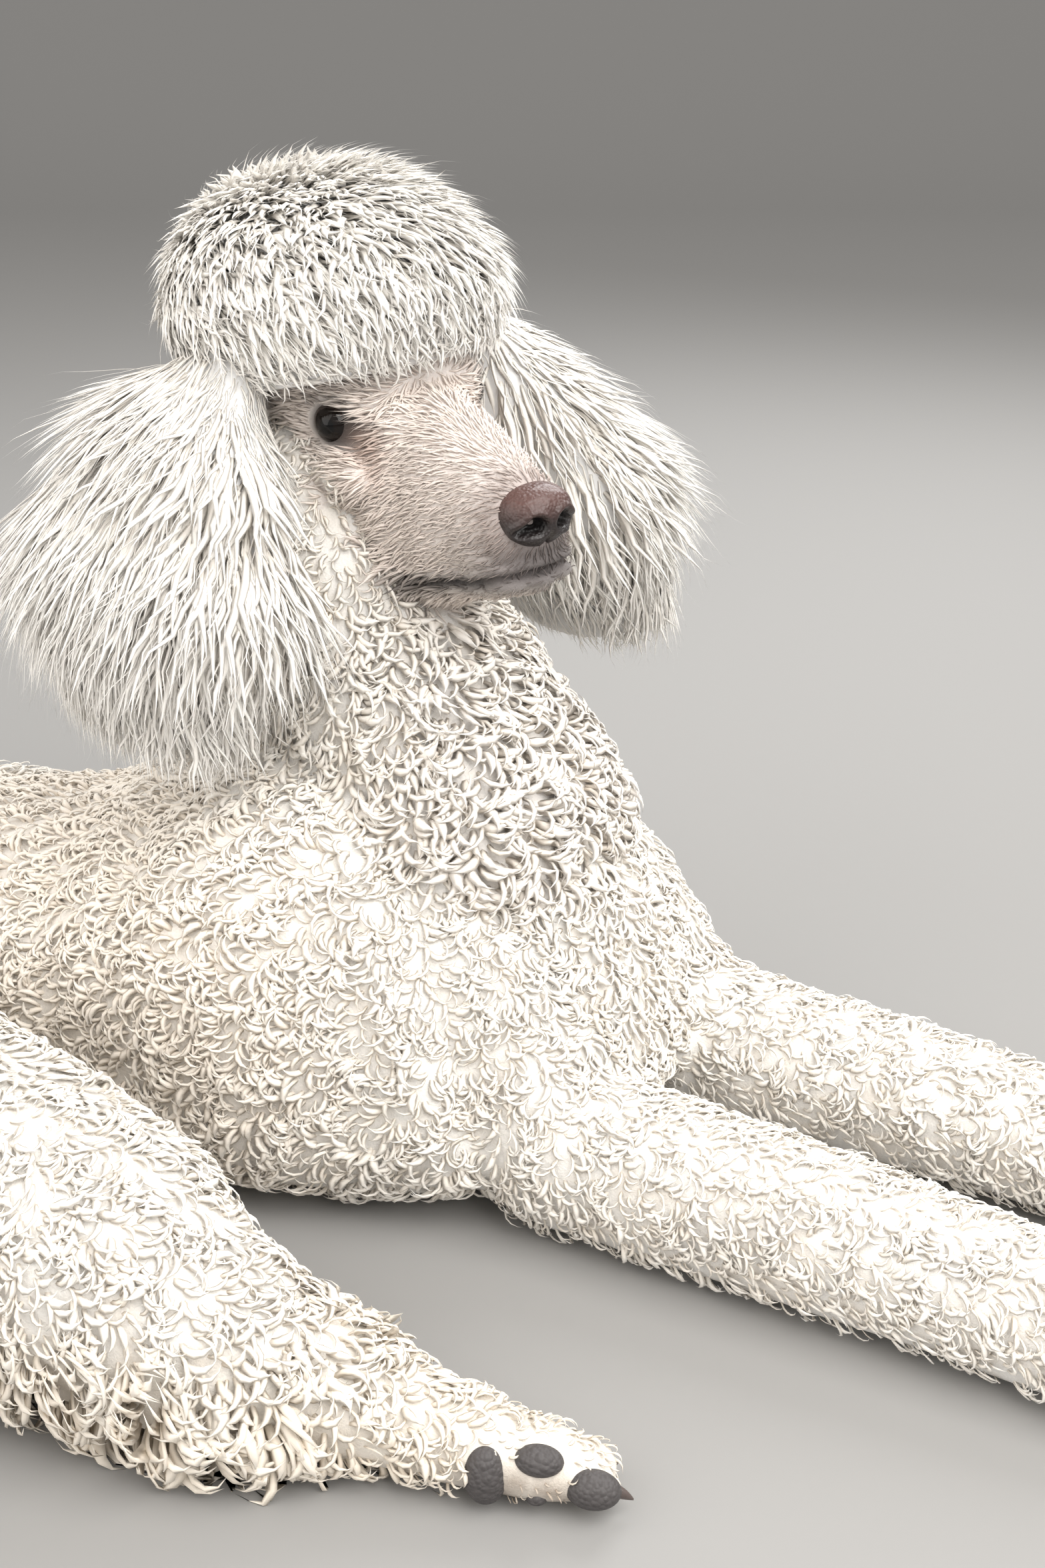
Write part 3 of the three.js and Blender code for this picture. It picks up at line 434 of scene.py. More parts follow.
def keep(mesh, name, kind, values):
    layer = mesh.attributes.get(name) or mesh.attributes.new(name, kind, "POINT")
    values = np.asarray(values, np.float32)
    if kind == "FLOAT_COLOR":
        values = np.c_[values, np.ones(len(values), np.float32)]
    field = {"FLOAT_COLOR": "color", "FLOAT_VECTOR": "vector"}.get(kind, "value")
    layer.data.foreach_set(field, values.ravel())


def tinted(mesh, colour):
    keep(mesh, "marking_and_shade", "FLOAT_COLOR", np.tile(np.array(colour), (len(mesh.vertices), 1)))


def unwrapped(piece, margin):
    picked([piece])
    bpy.ops.object.mode_set(mode="EDIT")
    bpy.ops.mesh.select_all(action="SELECT")
    bpy.ops.uv.smart_project(angle_limit=math.radians(70), island_margin=margin)
    bpy.ops.object.mode_set(mode="OBJECT")
    piece.data.uv_layers[0].name = "UVMap"


keep(skin.data, "marking_and_shade", "FLOAT_COLOR", marking_and_shade)
keep(skin.data, "lie", "FLOAT_VECTOR", lie)
unwrapped(skin, 0.001)


def grain_group():
    """Fine uneven relief and tone, as hide and hair have."""
    group = bpy.data.node_groups.new("fine_grain", "ShaderNodeTree")
    for name, way, kind in (("Vector", "INPUT", "Vector"), ("Scale", "INPUT", "Float"),
                            ("Height", "INPUT", "Float"), ("Tone", "OUTPUT", "Float"),
                            ("Normal", "OUTPUT", "Vector")):
        group.interface.new_socket(name, in_out=way, socket_type="NodeSocket" + kind)
    enter, leave = group.nodes.new("NodeGroupInput"), group.nodes.new("NodeGroupOutput")
    noise = group.nodes.new("ShaderNodeTexNoise")
    noise.inputs["Detail"].default_value = 5
    noise.inputs["Roughness"].default_value = 0.65
    bump = group.nodes.new("ShaderNodeBump")
    group.links.new(enter.outputs["Vector"], noise.inputs["Vector"])
    group.links.new(enter.outputs["Scale"], noise.inputs["Scale"])
    group.links.new(noise.outputs["Fac"], bump.inputs["Height"])
    group.links.new(enter.outputs["Height"], bump.inputs["Distance"])
    group.links.new(noise.outputs["Fac"], leave.inputs["Tone"])
    group.links.new(bump.outputs["Normal"], leave.inputs["Normal"])
    return group


GRAIN = grain_group()


def multiplied(nodes):
    mix = nodes.new("ShaderNodeMix")
    mix.data_type = "RGBA"
    mix.blend_type = "MULTIPLY"
    mix.inputs["Factor"].default_value = 1
    return mix


def painted(name, roughness, scale, height, sheen=0.0, coat=0.0, gloss=0.5, tones=(0.74, 1.16)):
    """A finish whose colour is the marking and painted shade under it, broken up by fine grain."""
    material = bpy.data.materials.new(name)
    material.use_nodes = True
    nodes = material.node_tree.nodes
    shader = nodes["Principled BSDF"]
    for socket, value in (("Roughness", roughness), ("Sheen Weight", sheen),
                          ("Specular IOR Level", gloss), ("Coat Weight", coat)):
        shader.inputs[socket].default_value = value
    marking_and_shade = nodes.new("ShaderNodeAttribute")
    marking_and_shade.attribute_name = "marking_and_shade"
    where = nodes.new("ShaderNodeTexCoord")
    grain = nodes.new("ShaderNodeGroup")
    grain.node_tree = GRAIN
    grain.inputs["Scale"].default_value = scale
    grain.inputs["Height"].default_value = height
    shade = nodes.new("ShaderNodeMapRange")
    shade.inputs["To Min"].default_value, shade.inputs["To Max"].default_value = tones
    links = material.node_tree.links
    mix = multiplied(nodes)
    links.new(where.outputs["Object"], grain.inputs["Vector"])
    links.new(grain.outputs["Tone"], shade.inputs["Value"])
    links.new(marking_and_shade.outputs["Color"], mix.inputs[6])
    links.new(shade.outputs["Result"], mix.inputs[7])
    links.new(mix.outputs[2], shader.inputs["Base Color"])
    links.new(grain.outputs["Normal"], shader.inputs["Normal"])
    return material


skin.data.materials.clear()
skin.data.materials.append(painted("hide", 0.6, 900, 0.0006, sheen=0.1))
OWN_PIECES = ("eye_", "nose", "ear_", "topknot", "tail_pom")
FLESH_NODES = [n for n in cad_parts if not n.startswith(OWN_PIECES)]
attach(skin, "root")
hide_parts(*FLESH_NODES)


# ---------------------------------------------------------------- the eyes
# Two dark wet balls set behind the lids, bulging a little in front of a near-black iris and a
# black pupil. Each is its own closed ball, seated in the skull.
EYE_RADIUS = 11.3
IRIS_EDGE, PUPIL_EDGE = 46, 20  # degrees off the way that the eye looks

for name, eye_at, look in zip(("eyeball_right", "eyeball_left"), EYE_AT, LOOK):
    look = look / np.linalg.norm(look)
    ball = egg_piece(name, (0, 0, 0), (1, 1, 1), np.eye(4), sides=64, rings=48)
    rays = coordinates(ball.data) / MM
    turn = np.degrees(np.arccos(np.clip(rays @ look, -1, 1)))
    swell = EYE_RADIUS + 0.9 * np.exp(-((turn / 26) ** 2))
    moved(ball.data, placed(rays * swell[:, None] * MM + eye_at * MM, HEAD))
    ball.data.shade_smooth()
    iris = np.tile(np.array((0.035, 0.025, 0.022)), (len(rays), 1))
    iris = mixed(iris, (0.006, 0.0035, 0.0025), (turn < IRIS_EDGE) * 1.0)
    iris = mixed(iris, (0.002, 0.002, 0.002), ramp(-turn, -PUPIL_EDGE, 3))
    keep(ball.data, "marking_and_shade", "FLOAT_COLOR", iris)
    ball.data.materials.append(painted("wet_" + name, 0.05, 700, 0.00001, gloss=0.28))
    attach(ball, "root")
    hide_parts(name.replace("ball", ""))


# ---------------------------------------------------------------- the nose
# Moist leather, brown-pink on top and near black round the nostrils, fine pebbled all over. The
# nostrils are commas that run round to the side, and a groove parts it down the middle.
NOSE_AT = np.array((103, 0, -17))
NOSE_HALF = np.array((14.5, 18.5, 15.0))

leather = egg_piece("nose_leather", (0, 0, 0), (1, 1, 1), np.eye(4), sides=160, rings=120)
rays = coordinates(leather.data) / MM
p = np.sign(rays) * np.abs(rays) ** 0.86 * NOSE_HALF
p[:, 1] *= 1 - 0.16 * np.clip(-rays[:, 2], 0, 1)
p[:, 0] += 1.6 * np.clip(rays[:, 2], 0, 1) - 2.2 * np.clip(-rays[:, 2], 0, 1)
carve = np.zeros(len(p))
bulge = np.zeros(len(p))
for side in (-1, 1):
    a = np.array((12.5, side * 7.6, 1.0))
    b = np.array((9.0, side * 15.5, -3.2))
    ab = b - a
    t = np.clip((p - a) @ ab / (ab @ ab), 0, 1)
    away = np.linalg.norm((p - a - t[:, None] * ab) / (1, 1, 0.9), axis=1)
    width = 4.6 - 2.4 * t
    carve = np.maximum(carve, np.exp(-((away / width) ** 3.2)) * (9.5 - 6.0 * t))
    rim = np.exp(-(((away - width - 2.0) / 2.0) ** 2))
    bulge = np.maximum(bulge, rim * 1.3 * (p[:, 2] > -6))
groove = 1.6 * np.exp(-((p[:, 1] / 1.3) ** 2)) * (rays[:, 0] > 0) * np.clip(0.6 - rays[:, 2], 0, 1)
inward = rays * np.array((1, 0.55, 0.8))
inward /= np.linalg.norm(inward, axis=1)[:, None]
p = p - inward * (carve + groove - bulge)[:, None]
moved(leather.data, placed((p + NOSE_AT) * MM, HEAD))
leather.data.shade_smooth()
tone = np.tile(np.array((0.090, 0.040, 0.033)), (len(p), 1))
tone = mixed(tone, (0.014, 0.008, 0.008), np.clip(0.92 - rays[:, 2] * 1.35 + 0.1 * rays[:, 0], 0, 1))
# painted shade in the nostrils, darkest where they are carved deepest
tone = mixed(tone, (0.004, 0.003, 0.003), np.clip(carve / 4, 0, 1))
keep(leather.data, "marking_and_shade", "FLOAT_COLOR", tone)


def pebbled(name, roughness, cell, height, coat):
    material = painted(name, roughness, 600, 0.0001, coat=coat)
    nodes, links = material.node_tree.nodes, material.node_tree.links
    shader = nodes["Principled BSDF"]
    where = nodes.new("ShaderNodeTexCoord")
    pebbles = nodes.new("ShaderNodeTexVoronoi")
    pebbles.feature = "SMOOTH_F1"
    pebbles.inputs["Scale"].default_value = 1 / cell
    pebbles.inputs["Smoothness"].default_value = 0.35
    bump = nodes.new("ShaderNodeBump")
    bump.invert = True
    bump.inputs["Distance"].default_value = height
    grain = nodes["Group"]
    links.new(where.outputs["Object"], pebbles.inputs["Vector"])
    links.new(pebbles.outputs["Distance"], bump.inputs["Height"])
    links.new(grain.outputs["Normal"], bump.inputs["Normal"])
    links.new(bump.outputs["Normal"], shader.inputs["Normal"])
    return material


leather.data.materials.append(pebbled("nose_leather", 0.48, 0.0016, 0.0006, 0.25))
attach(leather, "root")
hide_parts("nose")


# ---------------------------------------------------------------- pads and claws
# Thick grey pads stand out of the sole of the right hind foot, which is turned out, and blunt
# horn claws out of the toes of each forefoot and out of one toe of the right hind foot.
PADS = [((73, -284, 18), (9.5, 8, 14)), ((93, -274, 27), (10.5, 7, 6.5)),
        ((114, -266, 15), (12, 8, 8.5)), ((93, -276, 10), (5, 4.5, 4))]
pad_parts = [egg_piece("pad", at, half, GROUND, (0, 0, 0.35)) for at, half in PADS]
pads = melted("foot_pads", pad_parts, 0.001, 3)
pads.data.shade_smooth()
tinted(pads.data, (0.075, 0.068, 0.068))
pads.data.materials.clear()
pads.data.materials.append(pebbled("pad_leather", 0.6, 0.0022, 0.0009, 0.0))
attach(pads, "root")


def claw(at, along, length, radius):
    along = np.array(along, float) / np.linalg.norm(along)
    side = np.cross(along, (0, 0, 1))
    side /= np.linalg.norm(side)
    up = np.cross(side, along)
    points = []
    for i in range(11):
        s = i / 10
        seat = np.array(at) + along * (s * length) - up * (s * s * length * 0.32)
        girth = radius * (1 - s ** 2.4 * 0.86)
        for k in range(12):
            a = 2 * math.pi * k / 12
            points.append(seat + (side * math.cos(a) * 0.72 + up * math.sin(a)) * girth)
    faces = [f[::-1] for f in tube_faces(11, 12)]
    faces += [tuple(range(12)), tuple(range(120, 132))[::-1]]
    return new_piece("claw", placed(np.array(points) * MM, GROUND), faces)


claw_parts = [claw((118, -260, 12), (0.86, 0.42, -0.1), 11, 3.4)]
for side in (-1, 1):
    for place, back in TOES:
        claw_at = (350 - back, FRONT_Y + side * LEG_APART + place * 15, 13)
        claw_parts.append(claw(claw_at, (1, place * 0.06, -0.25), 15, 3.4))
claws = joined(claw_parts)
claws.name = "claws"
claws.data.shade_smooth()
tinted(claws.data, (0.10, 0.075, 0.068))
claws.data.materials.append(painted("claw_horn", 0.35, 500, 0.0002, coat=0.2))
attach(claws, "root")


# ---------------------------------------------------------------- the curled fleece
# Short dense curls over the trunk, neck and legs, hooked over the way the coat lies. Each is a
# closed tapered lock of hair rooted in the skin, repeated by one growing rule for every region.
def lock_shape(name, path, width, thick, lying=False):
    """A closed lock along a path, set on edge or lying flat; along is 0 at its root, 1 at its tip."""
    sides, rings = 3, len(path) - 1
    along = np.gradient(path, axis=0)
    along /= np.linalg.norm(along, axis=1)[:, None]
    points = []
    for i in range(rings):
        side = np.array((0.0, 1.0, 0.0)) - along[i] * along[i][1]
        side = np.cross((0.0, 0.0, 1.0), along[i]) if lying else side
        side /= np.linalg.norm(side)
        face = np.cross(along[i], side)
        for k in range(sides):
            a = 2 * math.pi * k / sides + math.pi / 2
            points.append(path[i] + side * math.cos(a) * width[i] / 2 + face * math.sin(a) * thick[i] / 2)
    points.append(path[-1])
    faces = tube_faces(rings, sides)
    tip = rings * sides
    base = (rings - 1) * sides
    faces += [(base + k, base + (k + 1) % sides, tip) for k in range(sides)]
    faces.append(tuple(range(sides))[::-1])
    piece = new_piece(name, points, faces)
    SCENE.collection.objects.unlink(piece)
    share = [i / rings for i in range(rings) for _ in range(sides)] + [1.0]
    keep(piece.data, "along", "FLOAT", share)
    layer = piece.data.uv_layers.new(name="strand")
    for face in piece.data.polygons:
        for loop, vertex in zip(face.loop_indices, face.vertices):
            turn = (vertex % sides) / sides if vertex < tip else 0.5
            layer.data[loop].uv = (turn, share[vertex])
    piece.data.shade_smooth()
    return piece


def tapered(count, width, full=0.35, tip=0.12):
    s = np.linspace(0, 1, count)
    beyond = np.maximum(s - full, 0) / (1 - full)
    return width * np.where(s < full, 0.7 + 0.3 * s / full, 1 - (1 - tip) * beyond ** 1.6)


def walked(length, steps, heading, sway=0.0, waves=1.0, phase=0.0):
    """A path that sets off at one angle from the skin and turns through the headings given."""
    s = np.linspace(0, 1, steps + 1)
    angle = np.radians(np.interp(s, np.linspace(0, 1, len(heading)), heading))
    step = length / steps
    x = np.cumsum(np.cos(angle)) * step - np.cos(angle[0]) * step
    z = np.cumsum(np.sin(angle)) * step - np.sin(angle[0]) * step
    y = sway * (np.sin(2 * math.pi * (waves * s + phase)) - math.sin(2 * math.pi * phase)) * (0.3 + 0.7 * s)
    return np.c_[x, y, z]


BAKE_PATCH = 0.003


def growing_rule():
    """Locks set over a surface: spaced out, turned the way the coat lies, each with its root's place."""
    tree = bpy.data.node_groups.new("growing_rule", "GeometryNodeTree")
    inputs = {"Surface": "Geometry", "Locks": "Collection", "Seed": "Int", "Hair": "Material"}
    inputs.update(dict.fromkeys(("Spacing", "Most", "Spin", "Lean Spread", "Size Spread"), "Float"))
    for name, kind in inputs.items():
        tree.interface.new_socket(name, in_out="INPUT", socket_type="NodeSocket" + kind)
    tree.interface.new_socket("Coat", in_out="OUTPUT", socket_type="NodeSocketGeometry")
    node = tree.nodes.new
    link = tree.links.new

    def into(n, name):
        return next(s for s in n.inputs if s.name == name and s.enabled)

    def out(n, name=None):
        return next(s for s in n.outputs if s.enabled and (name is None or s.name == name))

    def attribute(name, kind):
        n = node("GeometryNodeInputNamedAttribute")
        n.data_type = kind
        n.inputs["Name"].default_value = name
        return out(n, "Attribute")

    def feed(value, socket):
        if isinstance(value, float):
            socket.default_value = value
        else:
            link(value, socket)

    def arithmetic(operation, a, b):
        n = node("ShaderNodeMath")
        n.operation = operation
        feed(a, n.inputs[0])
        feed(b, n.inputs[1])
        return n.outputs[0]

    def chance(low, high, seed):
        n = node("FunctionNodeRandomValue")
        n.data_type = "FLOAT"
        feed(low, into(n, "Min"))
        feed(high, into(n, "Max"))
        link(arithmetic("ADD", enter.outputs["Seed"], float(seed)), into(n, "Seed"))
        return out(n, "Value")

    def stored(geometry, name, kind, domain, value):
        n = node("GeometryNodeStoreNamedAttribute")
        n.data_type = kind
        n.domain = domain
        n.inputs["Name"].default_value = name
        link(geometry, n.inputs["Geometry"])
        link(value, into(n, "Value"))
        return n.outputs[0]

    enter, leave = node("NodeGroupInput"), node("NodeGroupOutput")
    strew = node("GeometryNodeDistributePointsOnFaces")
    strew.distribute_method = "POISSON"
    link(enter.outputs["Surface"], strew.inputs["Mesh"])
    link(enter.outputs["Spacing"], into(strew, "Distance Min"))
    link(enter.outputs["Most"], into(strew, "Density Max"))
    link(attribute("density", "FLOAT"), into(strew, "Density Factor"))
    link(enter.outputs["Seed"], into(strew, "Seed"))
    place = attribute("UVMap", "FLOAT_VECTOR")
    roots = stored(strew.outputs["Points"], "root", "FLOAT_VECTOR", "POINT", place)
    roots = stored(roots, "tone", "FLOAT", "POINT", chance(0.0, 1.0, 5))
    stand = node("FunctionNodeAxesToRotation")
    stand.primary_axis = "Z"
    stand.secondary_axis = "X"
    link(strew.outputs["Normal"], stand.inputs[0])
    link(attribute("lie", "FLOAT_VECTOR"), stand.inputs[1])

    def either_way(name, seed):
        return chance(arithmetic("MULTIPLY", enter.outputs[name], -1.0), enter.outputs[name], seed)

    spin, lean = either_way("Spin", 1), either_way("Lean Spread", 2)
    pose = node("ShaderNodeCombineXYZ")
    link(arithmetic("ADD", lean, attribute("lean", "FLOAT")), pose.inputs["Y"])
    link(spin, pose.inputs["Z"])
    euler = node("FunctionNodeEulerToRotation")
    link(pose.outputs[0], euler.inputs[0])
    turn = node("FunctionNodeRotateRotation")
    turn.rotation_space = "LOCAL"
    link(out(stand), turn.inputs[0])
    link(out(euler), turn.inputs[1])
    spread = enter.outputs["Size Spread"]
    size = chance(arithmetic("SUBTRACT", 1.0, spread), arithmetic("ADD", 1.0, spread), 3)
    size = arithmetic("MULTIPLY", size, attribute("size", "FLOAT"))
    kinds = node("GeometryNodeCollectionInfo")
    kinds.inputs["Separate Children"].default_value = True
    kinds.inputs["Reset Children"].default_value = True
    link(enter.outputs["Locks"], kinds.inputs["Collection"])
    plant = node("GeometryNodeInstanceOnPoints")
    plant.inputs["Pick Instance"].default_value = True
    link(roots, plant.inputs["Points"])
    link(kinds.outputs[0], plant.inputs["Instance"])
    link(out(turn), plant.inputs["Rotation"])
    link(size, plant.inputs["Scale"])
    real = node("GeometryNodeRealizeInstances")
    link(plant.outputs[0], real.inputs[0])
    patch = node("ShaderNodeVectorMath")
    patch.operation = "MULTIPLY_ADD"
    link(attribute("strand", "FLOAT_VECTOR"), patch.inputs[0])
    patch.inputs[1].default_value = (BAKE_PATCH, BAKE_PATCH, 0.0)
    link(attribute("root", "FLOAT_VECTOR"), patch.inputs[2])
    bake = stored(real.outputs[0], "OFBake", "FLOAT2", "CORNER", patch.outputs[0])
    for name in ("UVMap", "root", "lie", "density", "size", "lean"):
        strip = node("GeometryNodeRemoveAttribute")
        strip.inputs["Name"].default_value = name
        link(bake, strip.inputs[0])
        bake = strip.outputs[0]
    finish = node("GeometryNodeSetMaterial")
    link(bake, finish.inputs["Geometry"])
    link(enter.outputs["Hair"], finish.inputs["Material"])
    link(finish.outputs[0], leave.inputs["Coat"])
    return tree


GROWING = growing_rule()
SOCKET = {s.name: s.identifier for s in GROWING.interface.items_tree if s.in_out == "INPUT"}


def kinds_of(name, locks):
    group = bpy.data.collections.new(name)
    for lock in locks:
        group.objects.link(lock)
    return group


def grown(name, surface, locks, hair, spacing, most, spin, lean_spread, size_spread, seed):
    """A coat piece: the growing rule run on a surface, then kept as a plain mesh at rest on the floor."""
    rule = surface.modifiers.new("grow", "NODES")
    rule.node_group = GROWING
    values = {"Locks": locks, "Spacing": spacing, "Most": most, "Spin": spin,
              "Lean Spread": lean_spread, "Size Spread": size_spread, "Seed": seed, "Hair": hair}
    for key, value in values.items():
        rule[SOCKET[key]] = value
    piece = plain(name, surface)
    where = coordinates(piece.data)
    where[:, 2] = np.maximum(where[:, 2], HAIR_LIFT)
    moved(piece.data, where)
    return piece


def patch_of(source, density, size, lean=0.0, wanted=None):
    """The part of a surface that a coat piece grows on, with its markings and painted shade, lie and
    unwrap.
    """
    whole = source.data.copy()
    wanted = np.ones(len(whole.polygons), bool) if wanted is None else wanted
    keep(whole, "density", "FLOAT", density)
    keep(whole, "size", "FLOAT", size)
    keep(whole, "lean", "FLOAT", np.zeros(len(whole.vertices)) + lean)
    part = bpy.data.objects.new("patch", whole)
    SCENE.collection.objects.link(part)
    work = bmesh.new()
    work.from_mesh(whole)
    work.faces.ensure_lookup_table()
    bmesh.ops.delete(work, geom=[f for f, kept in zip(work.faces, wanted) if not kept], context="FACES")
    work.to_mesh(whole)
    work.free()
    return part


def hair_finish(name, streaks, root, tip, roughness, relief):
    """White hair: fine streaks down each lock, warmer and a little darker at the root as painted shade deep
    in the coat.
    """
    material = painted(name, roughness, streaks, relief, gloss=0.2, tones=(0.88, 1.06))
    nodes, links = material.node_tree.nodes, material.node_tree.links
    shader = nodes["Principled BSDF"]
    strand = nodes.new("ShaderNodeUVMap")
    strand.uv_map = "strand"
    tone = nodes.new("ShaderNodeAttribute")
    tone.attribute_name = "tone"
    shift = nodes.new("ShaderNodeVectorMath")
    shift.operation = "MULTIPLY_ADD"
    shift.inputs[1].default_value = (14.0, 0.9, 1)
    grain = nodes["Group"]
    links.new(strand.outputs[0], shift.inputs[0])
    links.new(tone.outputs["Vector"], shift.inputs[2])
    links.new(shift.outputs[0], grain.inputs["Vector"])
    # painted shade deep in the coat: each lock runs from a warmer, darker root to a bright tip
    along = nodes.new("ShaderNodeAttribute")
    along.attribute_name = "along"
    root_shade = nodes.new("ShaderNodeMix")
    root_shade.data_type = "RGBA"
    root_shade.inputs[6].default_value = (*root, 1)
    root_shade.inputs[7].default_value = (*tip, 1)
    mix = multiplied(nodes)
    links.new(along.outputs["Fac"], root_shade.inputs["Factor"])
    links.new(shader.inputs["Base Color"].links[0].from_socket, mix.inputs[6])
    links.new(root_shade.outputs[2], mix.inputs[7])
    links.new(mix.outputs[2], shader.inputs["Base Color"])
    return material


FLEECE = hair_finish("fleece", 1.6, (0.97, 0.925, 0.865), (1.02, 1.02, 1.015), 0.85, 0.0001)
chance = np.random.default_rng(7)
curls = []
for k in range(6):
    hook = (95 + 30 * (k // 2)) * (1 if k % 2 else -1)
    bend = np.radians(np.linspace(0.25, -0.75, 6) * hook)
    step = (0.0135 + 0.0010 * k) / 5
    rise = np.array((-0.0010, 0.0015, 0.0028, 0.0033, 0.0028, 0.0016)) + 0.0003 * (k % 3)
    path = np.c_[np.cumsum(np.cos(bend)) * step, np.cumsum(np.sin(bend)) * step, rise]
    wide = 0.0052 - 0.0006 * k
    thick = tapered(5, wide * 0.38, 0.5, 0.25)
    curls.append(lock_shape(f"curl_{k}", path, tapered(5, wide, 0.5, 0.2), thick, lying=True))
CURLS = kinds_of("curls", curls)


def gathered(where, facing, flow, cell, pull, seed):
    """The lie turned towards the middle of each clump, and how far from that middle each spot is."""
    order = np.random.default_rng(seed).permutation(len(where))
    keys = np.floor(where[order] / cell).astype(int)
    _, first = np.unique(keys, axis=0, return_index=True)
    middles = where[order[first]]
    toward = middles[nearest(middles, where)] - where
    reach = np.linalg.norm(toward, axis=1) / (cell * 0.6)
    turned = flow / (np.linalg.norm(flow, axis=1)[:, None] + 1e-9) + toward / (cell * 0.6) * pull
    turned -= facing * np.sum(turned * facing, axis=1)[:, None]
    return turned, np.clip(reach, 0, 1)


CLUMP, SWIRL = 0.013, 0.028  # how wide a clump of curls and a turn of their lie are
clumped, reach = gathered(points, facing, lie, CLUMP, 0.35, 8)
sway, rays_of = np.zeros(len(points)), np.random.default_rng(12)
for _ in range(6):
    ray = rays_of.normal(size=3)
    sway += np.sin(points @ ray / np.linalg.norm(ray) * 2 * math.pi / SWIRL + rays_of.uniform(0, 6.3))
sway = 0.4 * sway[:, None]
clumped = clumped * np.cos(sway) + np.cross(facing, clumped) * np.sin(sway)
lie = np.where(on_head[:, None], lie, clumped)
keep(skin.data, "lie", "FLOAT_VECTOR", lie)
# painted shade between the clumps: the skin, and so the curls, made cream towards the edge of each clump
marking_and_shade = mixed(marking_and_shade, (0.93, 0.865, 0.78), ~on_head * 0.55 * reach ** 2)
keep(skin.data, "marking_and_shade", "FLOAT_COLOR", marking_and_shade)

region_of_face = np.array([region[f.vertices[0]] for f in skin.data.polygons])
low_sole = (points[:, 2] < 0.007) & (facing[:, 2] < -0.5)
density = np.where(low_sole, 0.0, np.where(facing[:, 2] < -0.35, 0.6, 1.0))
sizes = np.array([COAT_DEPTH.get(name, 5) / 6.5 for name in REGIONS])[region] * (1.1 - 0.3 * reach ** 2)
for at, half in PADS:
    away = on_ground - np.array(at)
    density[np.linalg.norm(away / (np.array(half) + (0, 7, 0)), axis=1) < 1] = 0
    sizes *= 1 - 0.25 * (np.linalg.norm(away / (np.array(half) + 12), axis=1) < 1)
under_hock = within("hind_right") * ramp(-height, -75, 45) * ramp(-on_ground[:, 0], -20, 40)
cheek = within("neck") * ramp(local[:, 2], -84, 16) * ramp(local[:, 0], -84, 20)
near_toes = within("foreleg_right", "foreleg_left") * ramp(on_ground[:, 0], 290, 40)
near_toes += within("hind_right") * ramp(on_ground[:, 0], 40, 40)
sizes *= (1 + 0.9 * under_hock + 0.3 * throat * (1 - cheek)) * (1 - 0.35 * cheek) * (1 - 0.35 * near_toes)
standing = -0.5 * under_hock - 0.25 * throat - 0.35 * (sole_gap < 1)

# name, regions, where it starts and ends along X in mm, the spacing of its curls
WHOLE = (-999, 999)
FLEECED = [
    ("fleece_trunk_front", ["trunk"], (-170, 999), 0.0033),
    ("fleece_trunk_middle", ["trunk"], (-300, -170), 0.0034),
    ("fleece_rump", ["trunk"], (-999, -300), 0.0040),
    ("fleece_neck", ["neck"], WHOLE, 0.0032),
    ("fleece_foreleg_right", ["foreleg_right"], WHOLE, 0.0032),
    ("fleece_foreleg_left", ["foreleg_left"], WHOLE, 0.0034),
    ("fleece_hind_right", ["hind_right"], WHOLE, 0.0036),
    ("fleece_hind_left", ["thigh_left", "hind_left", "tail"], WHOLE, 0.0044),
]
centre_x = (read(skin.data.polygons, "center")[:, 0] - SHIFT.x) / MM
for seed, (name, where, (start, end), spacing) in enumerate(FLEECED, 31):
    wanted = np.isin(region_of_face, [REGIONS.index(w) for w in where])
    wanted &= (centre_x > start) & (centre_x <= end)
    bed = patch_of(skin, density, sizes, standing, wanted)
    coat = grown(name, bed, CURLS, FLEECE, spacing, 300000, 0.25, 0.10, 0.16, seed)
    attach(coat, "root")


# ---------------------------------------------------------------- the ears
# Long brushed-out hair hangs over each ear leather to below the jaw. The leather and the close
# under-hair are one core; wavy locks start on it, lie down it and part at their tips.
HAIR = hair_finish("long_hair", 1.8, (0.97, 0.935, 0.885), (1.02, 1.02, 1.015), 0.75, 0.00012)


def ear_line(side):
    swing = 14 if side > 0 else 0
    return body_line([
        (-50, side * 66, 22, 34, 26), (-52, side * 90, -24, 76, 46),
        (-46, side * 112 + 0.4 * swing, -74, 104, 58), (-36, side * 124 + swing, -124 - swing, 86, 48)],
        across=(1, 0, 0), cap=0.7, fullness=2.1, base=HEAD)


def hair_bed(name, piece, lie):
    """A closed core that long hair grows on, with its own unwrap."""
    tinted(piece.data, (0.97, 0.957, 0.935))
    keep(piece.data, "lie", "FLOAT_VECTOR", lie)
    unwrapped(piece, 0.002)
    piece.name = name
    return piece


def with_core(coat, bed):
    """The under-hair joined into the coat piece, so that nothing shows through it."""
    bed.data.uv_layers[0].name = "OFBake"
    bed.data.uv_layers.new(name="strand")
    for layer in ("along", "tone"):
        keep(bed.data, layer, "FLOAT", np.full(len(bed.data.vertices), 0.5))
    bed.data.materials.clear()
    bed.data.materials.append(coat.data.materials[0])
    bed.data.shade_smooth()
    joined([coat, bed])


waves = []
for k in range(6):
    path = walked(0.064, 6, (16, 10, 3, 1, 4, 0, -2), 0.0030, 1.5 + 0.2 * k, chance.random())
    wide = 0.0012 if k > 3 else 0.0050 - 0.0006 * k
    waves.append(lock_shape(f"wave_{k}", path * (1.12 if k > 3 else 1.0), tapered(6, wide, 0.35, 0.06),
                            tapered(6, wide * 0.28, 0.3, 0.12)))
WAVES = kinds_of("waves", waves)

EAR_CORE_DEPTH = 11
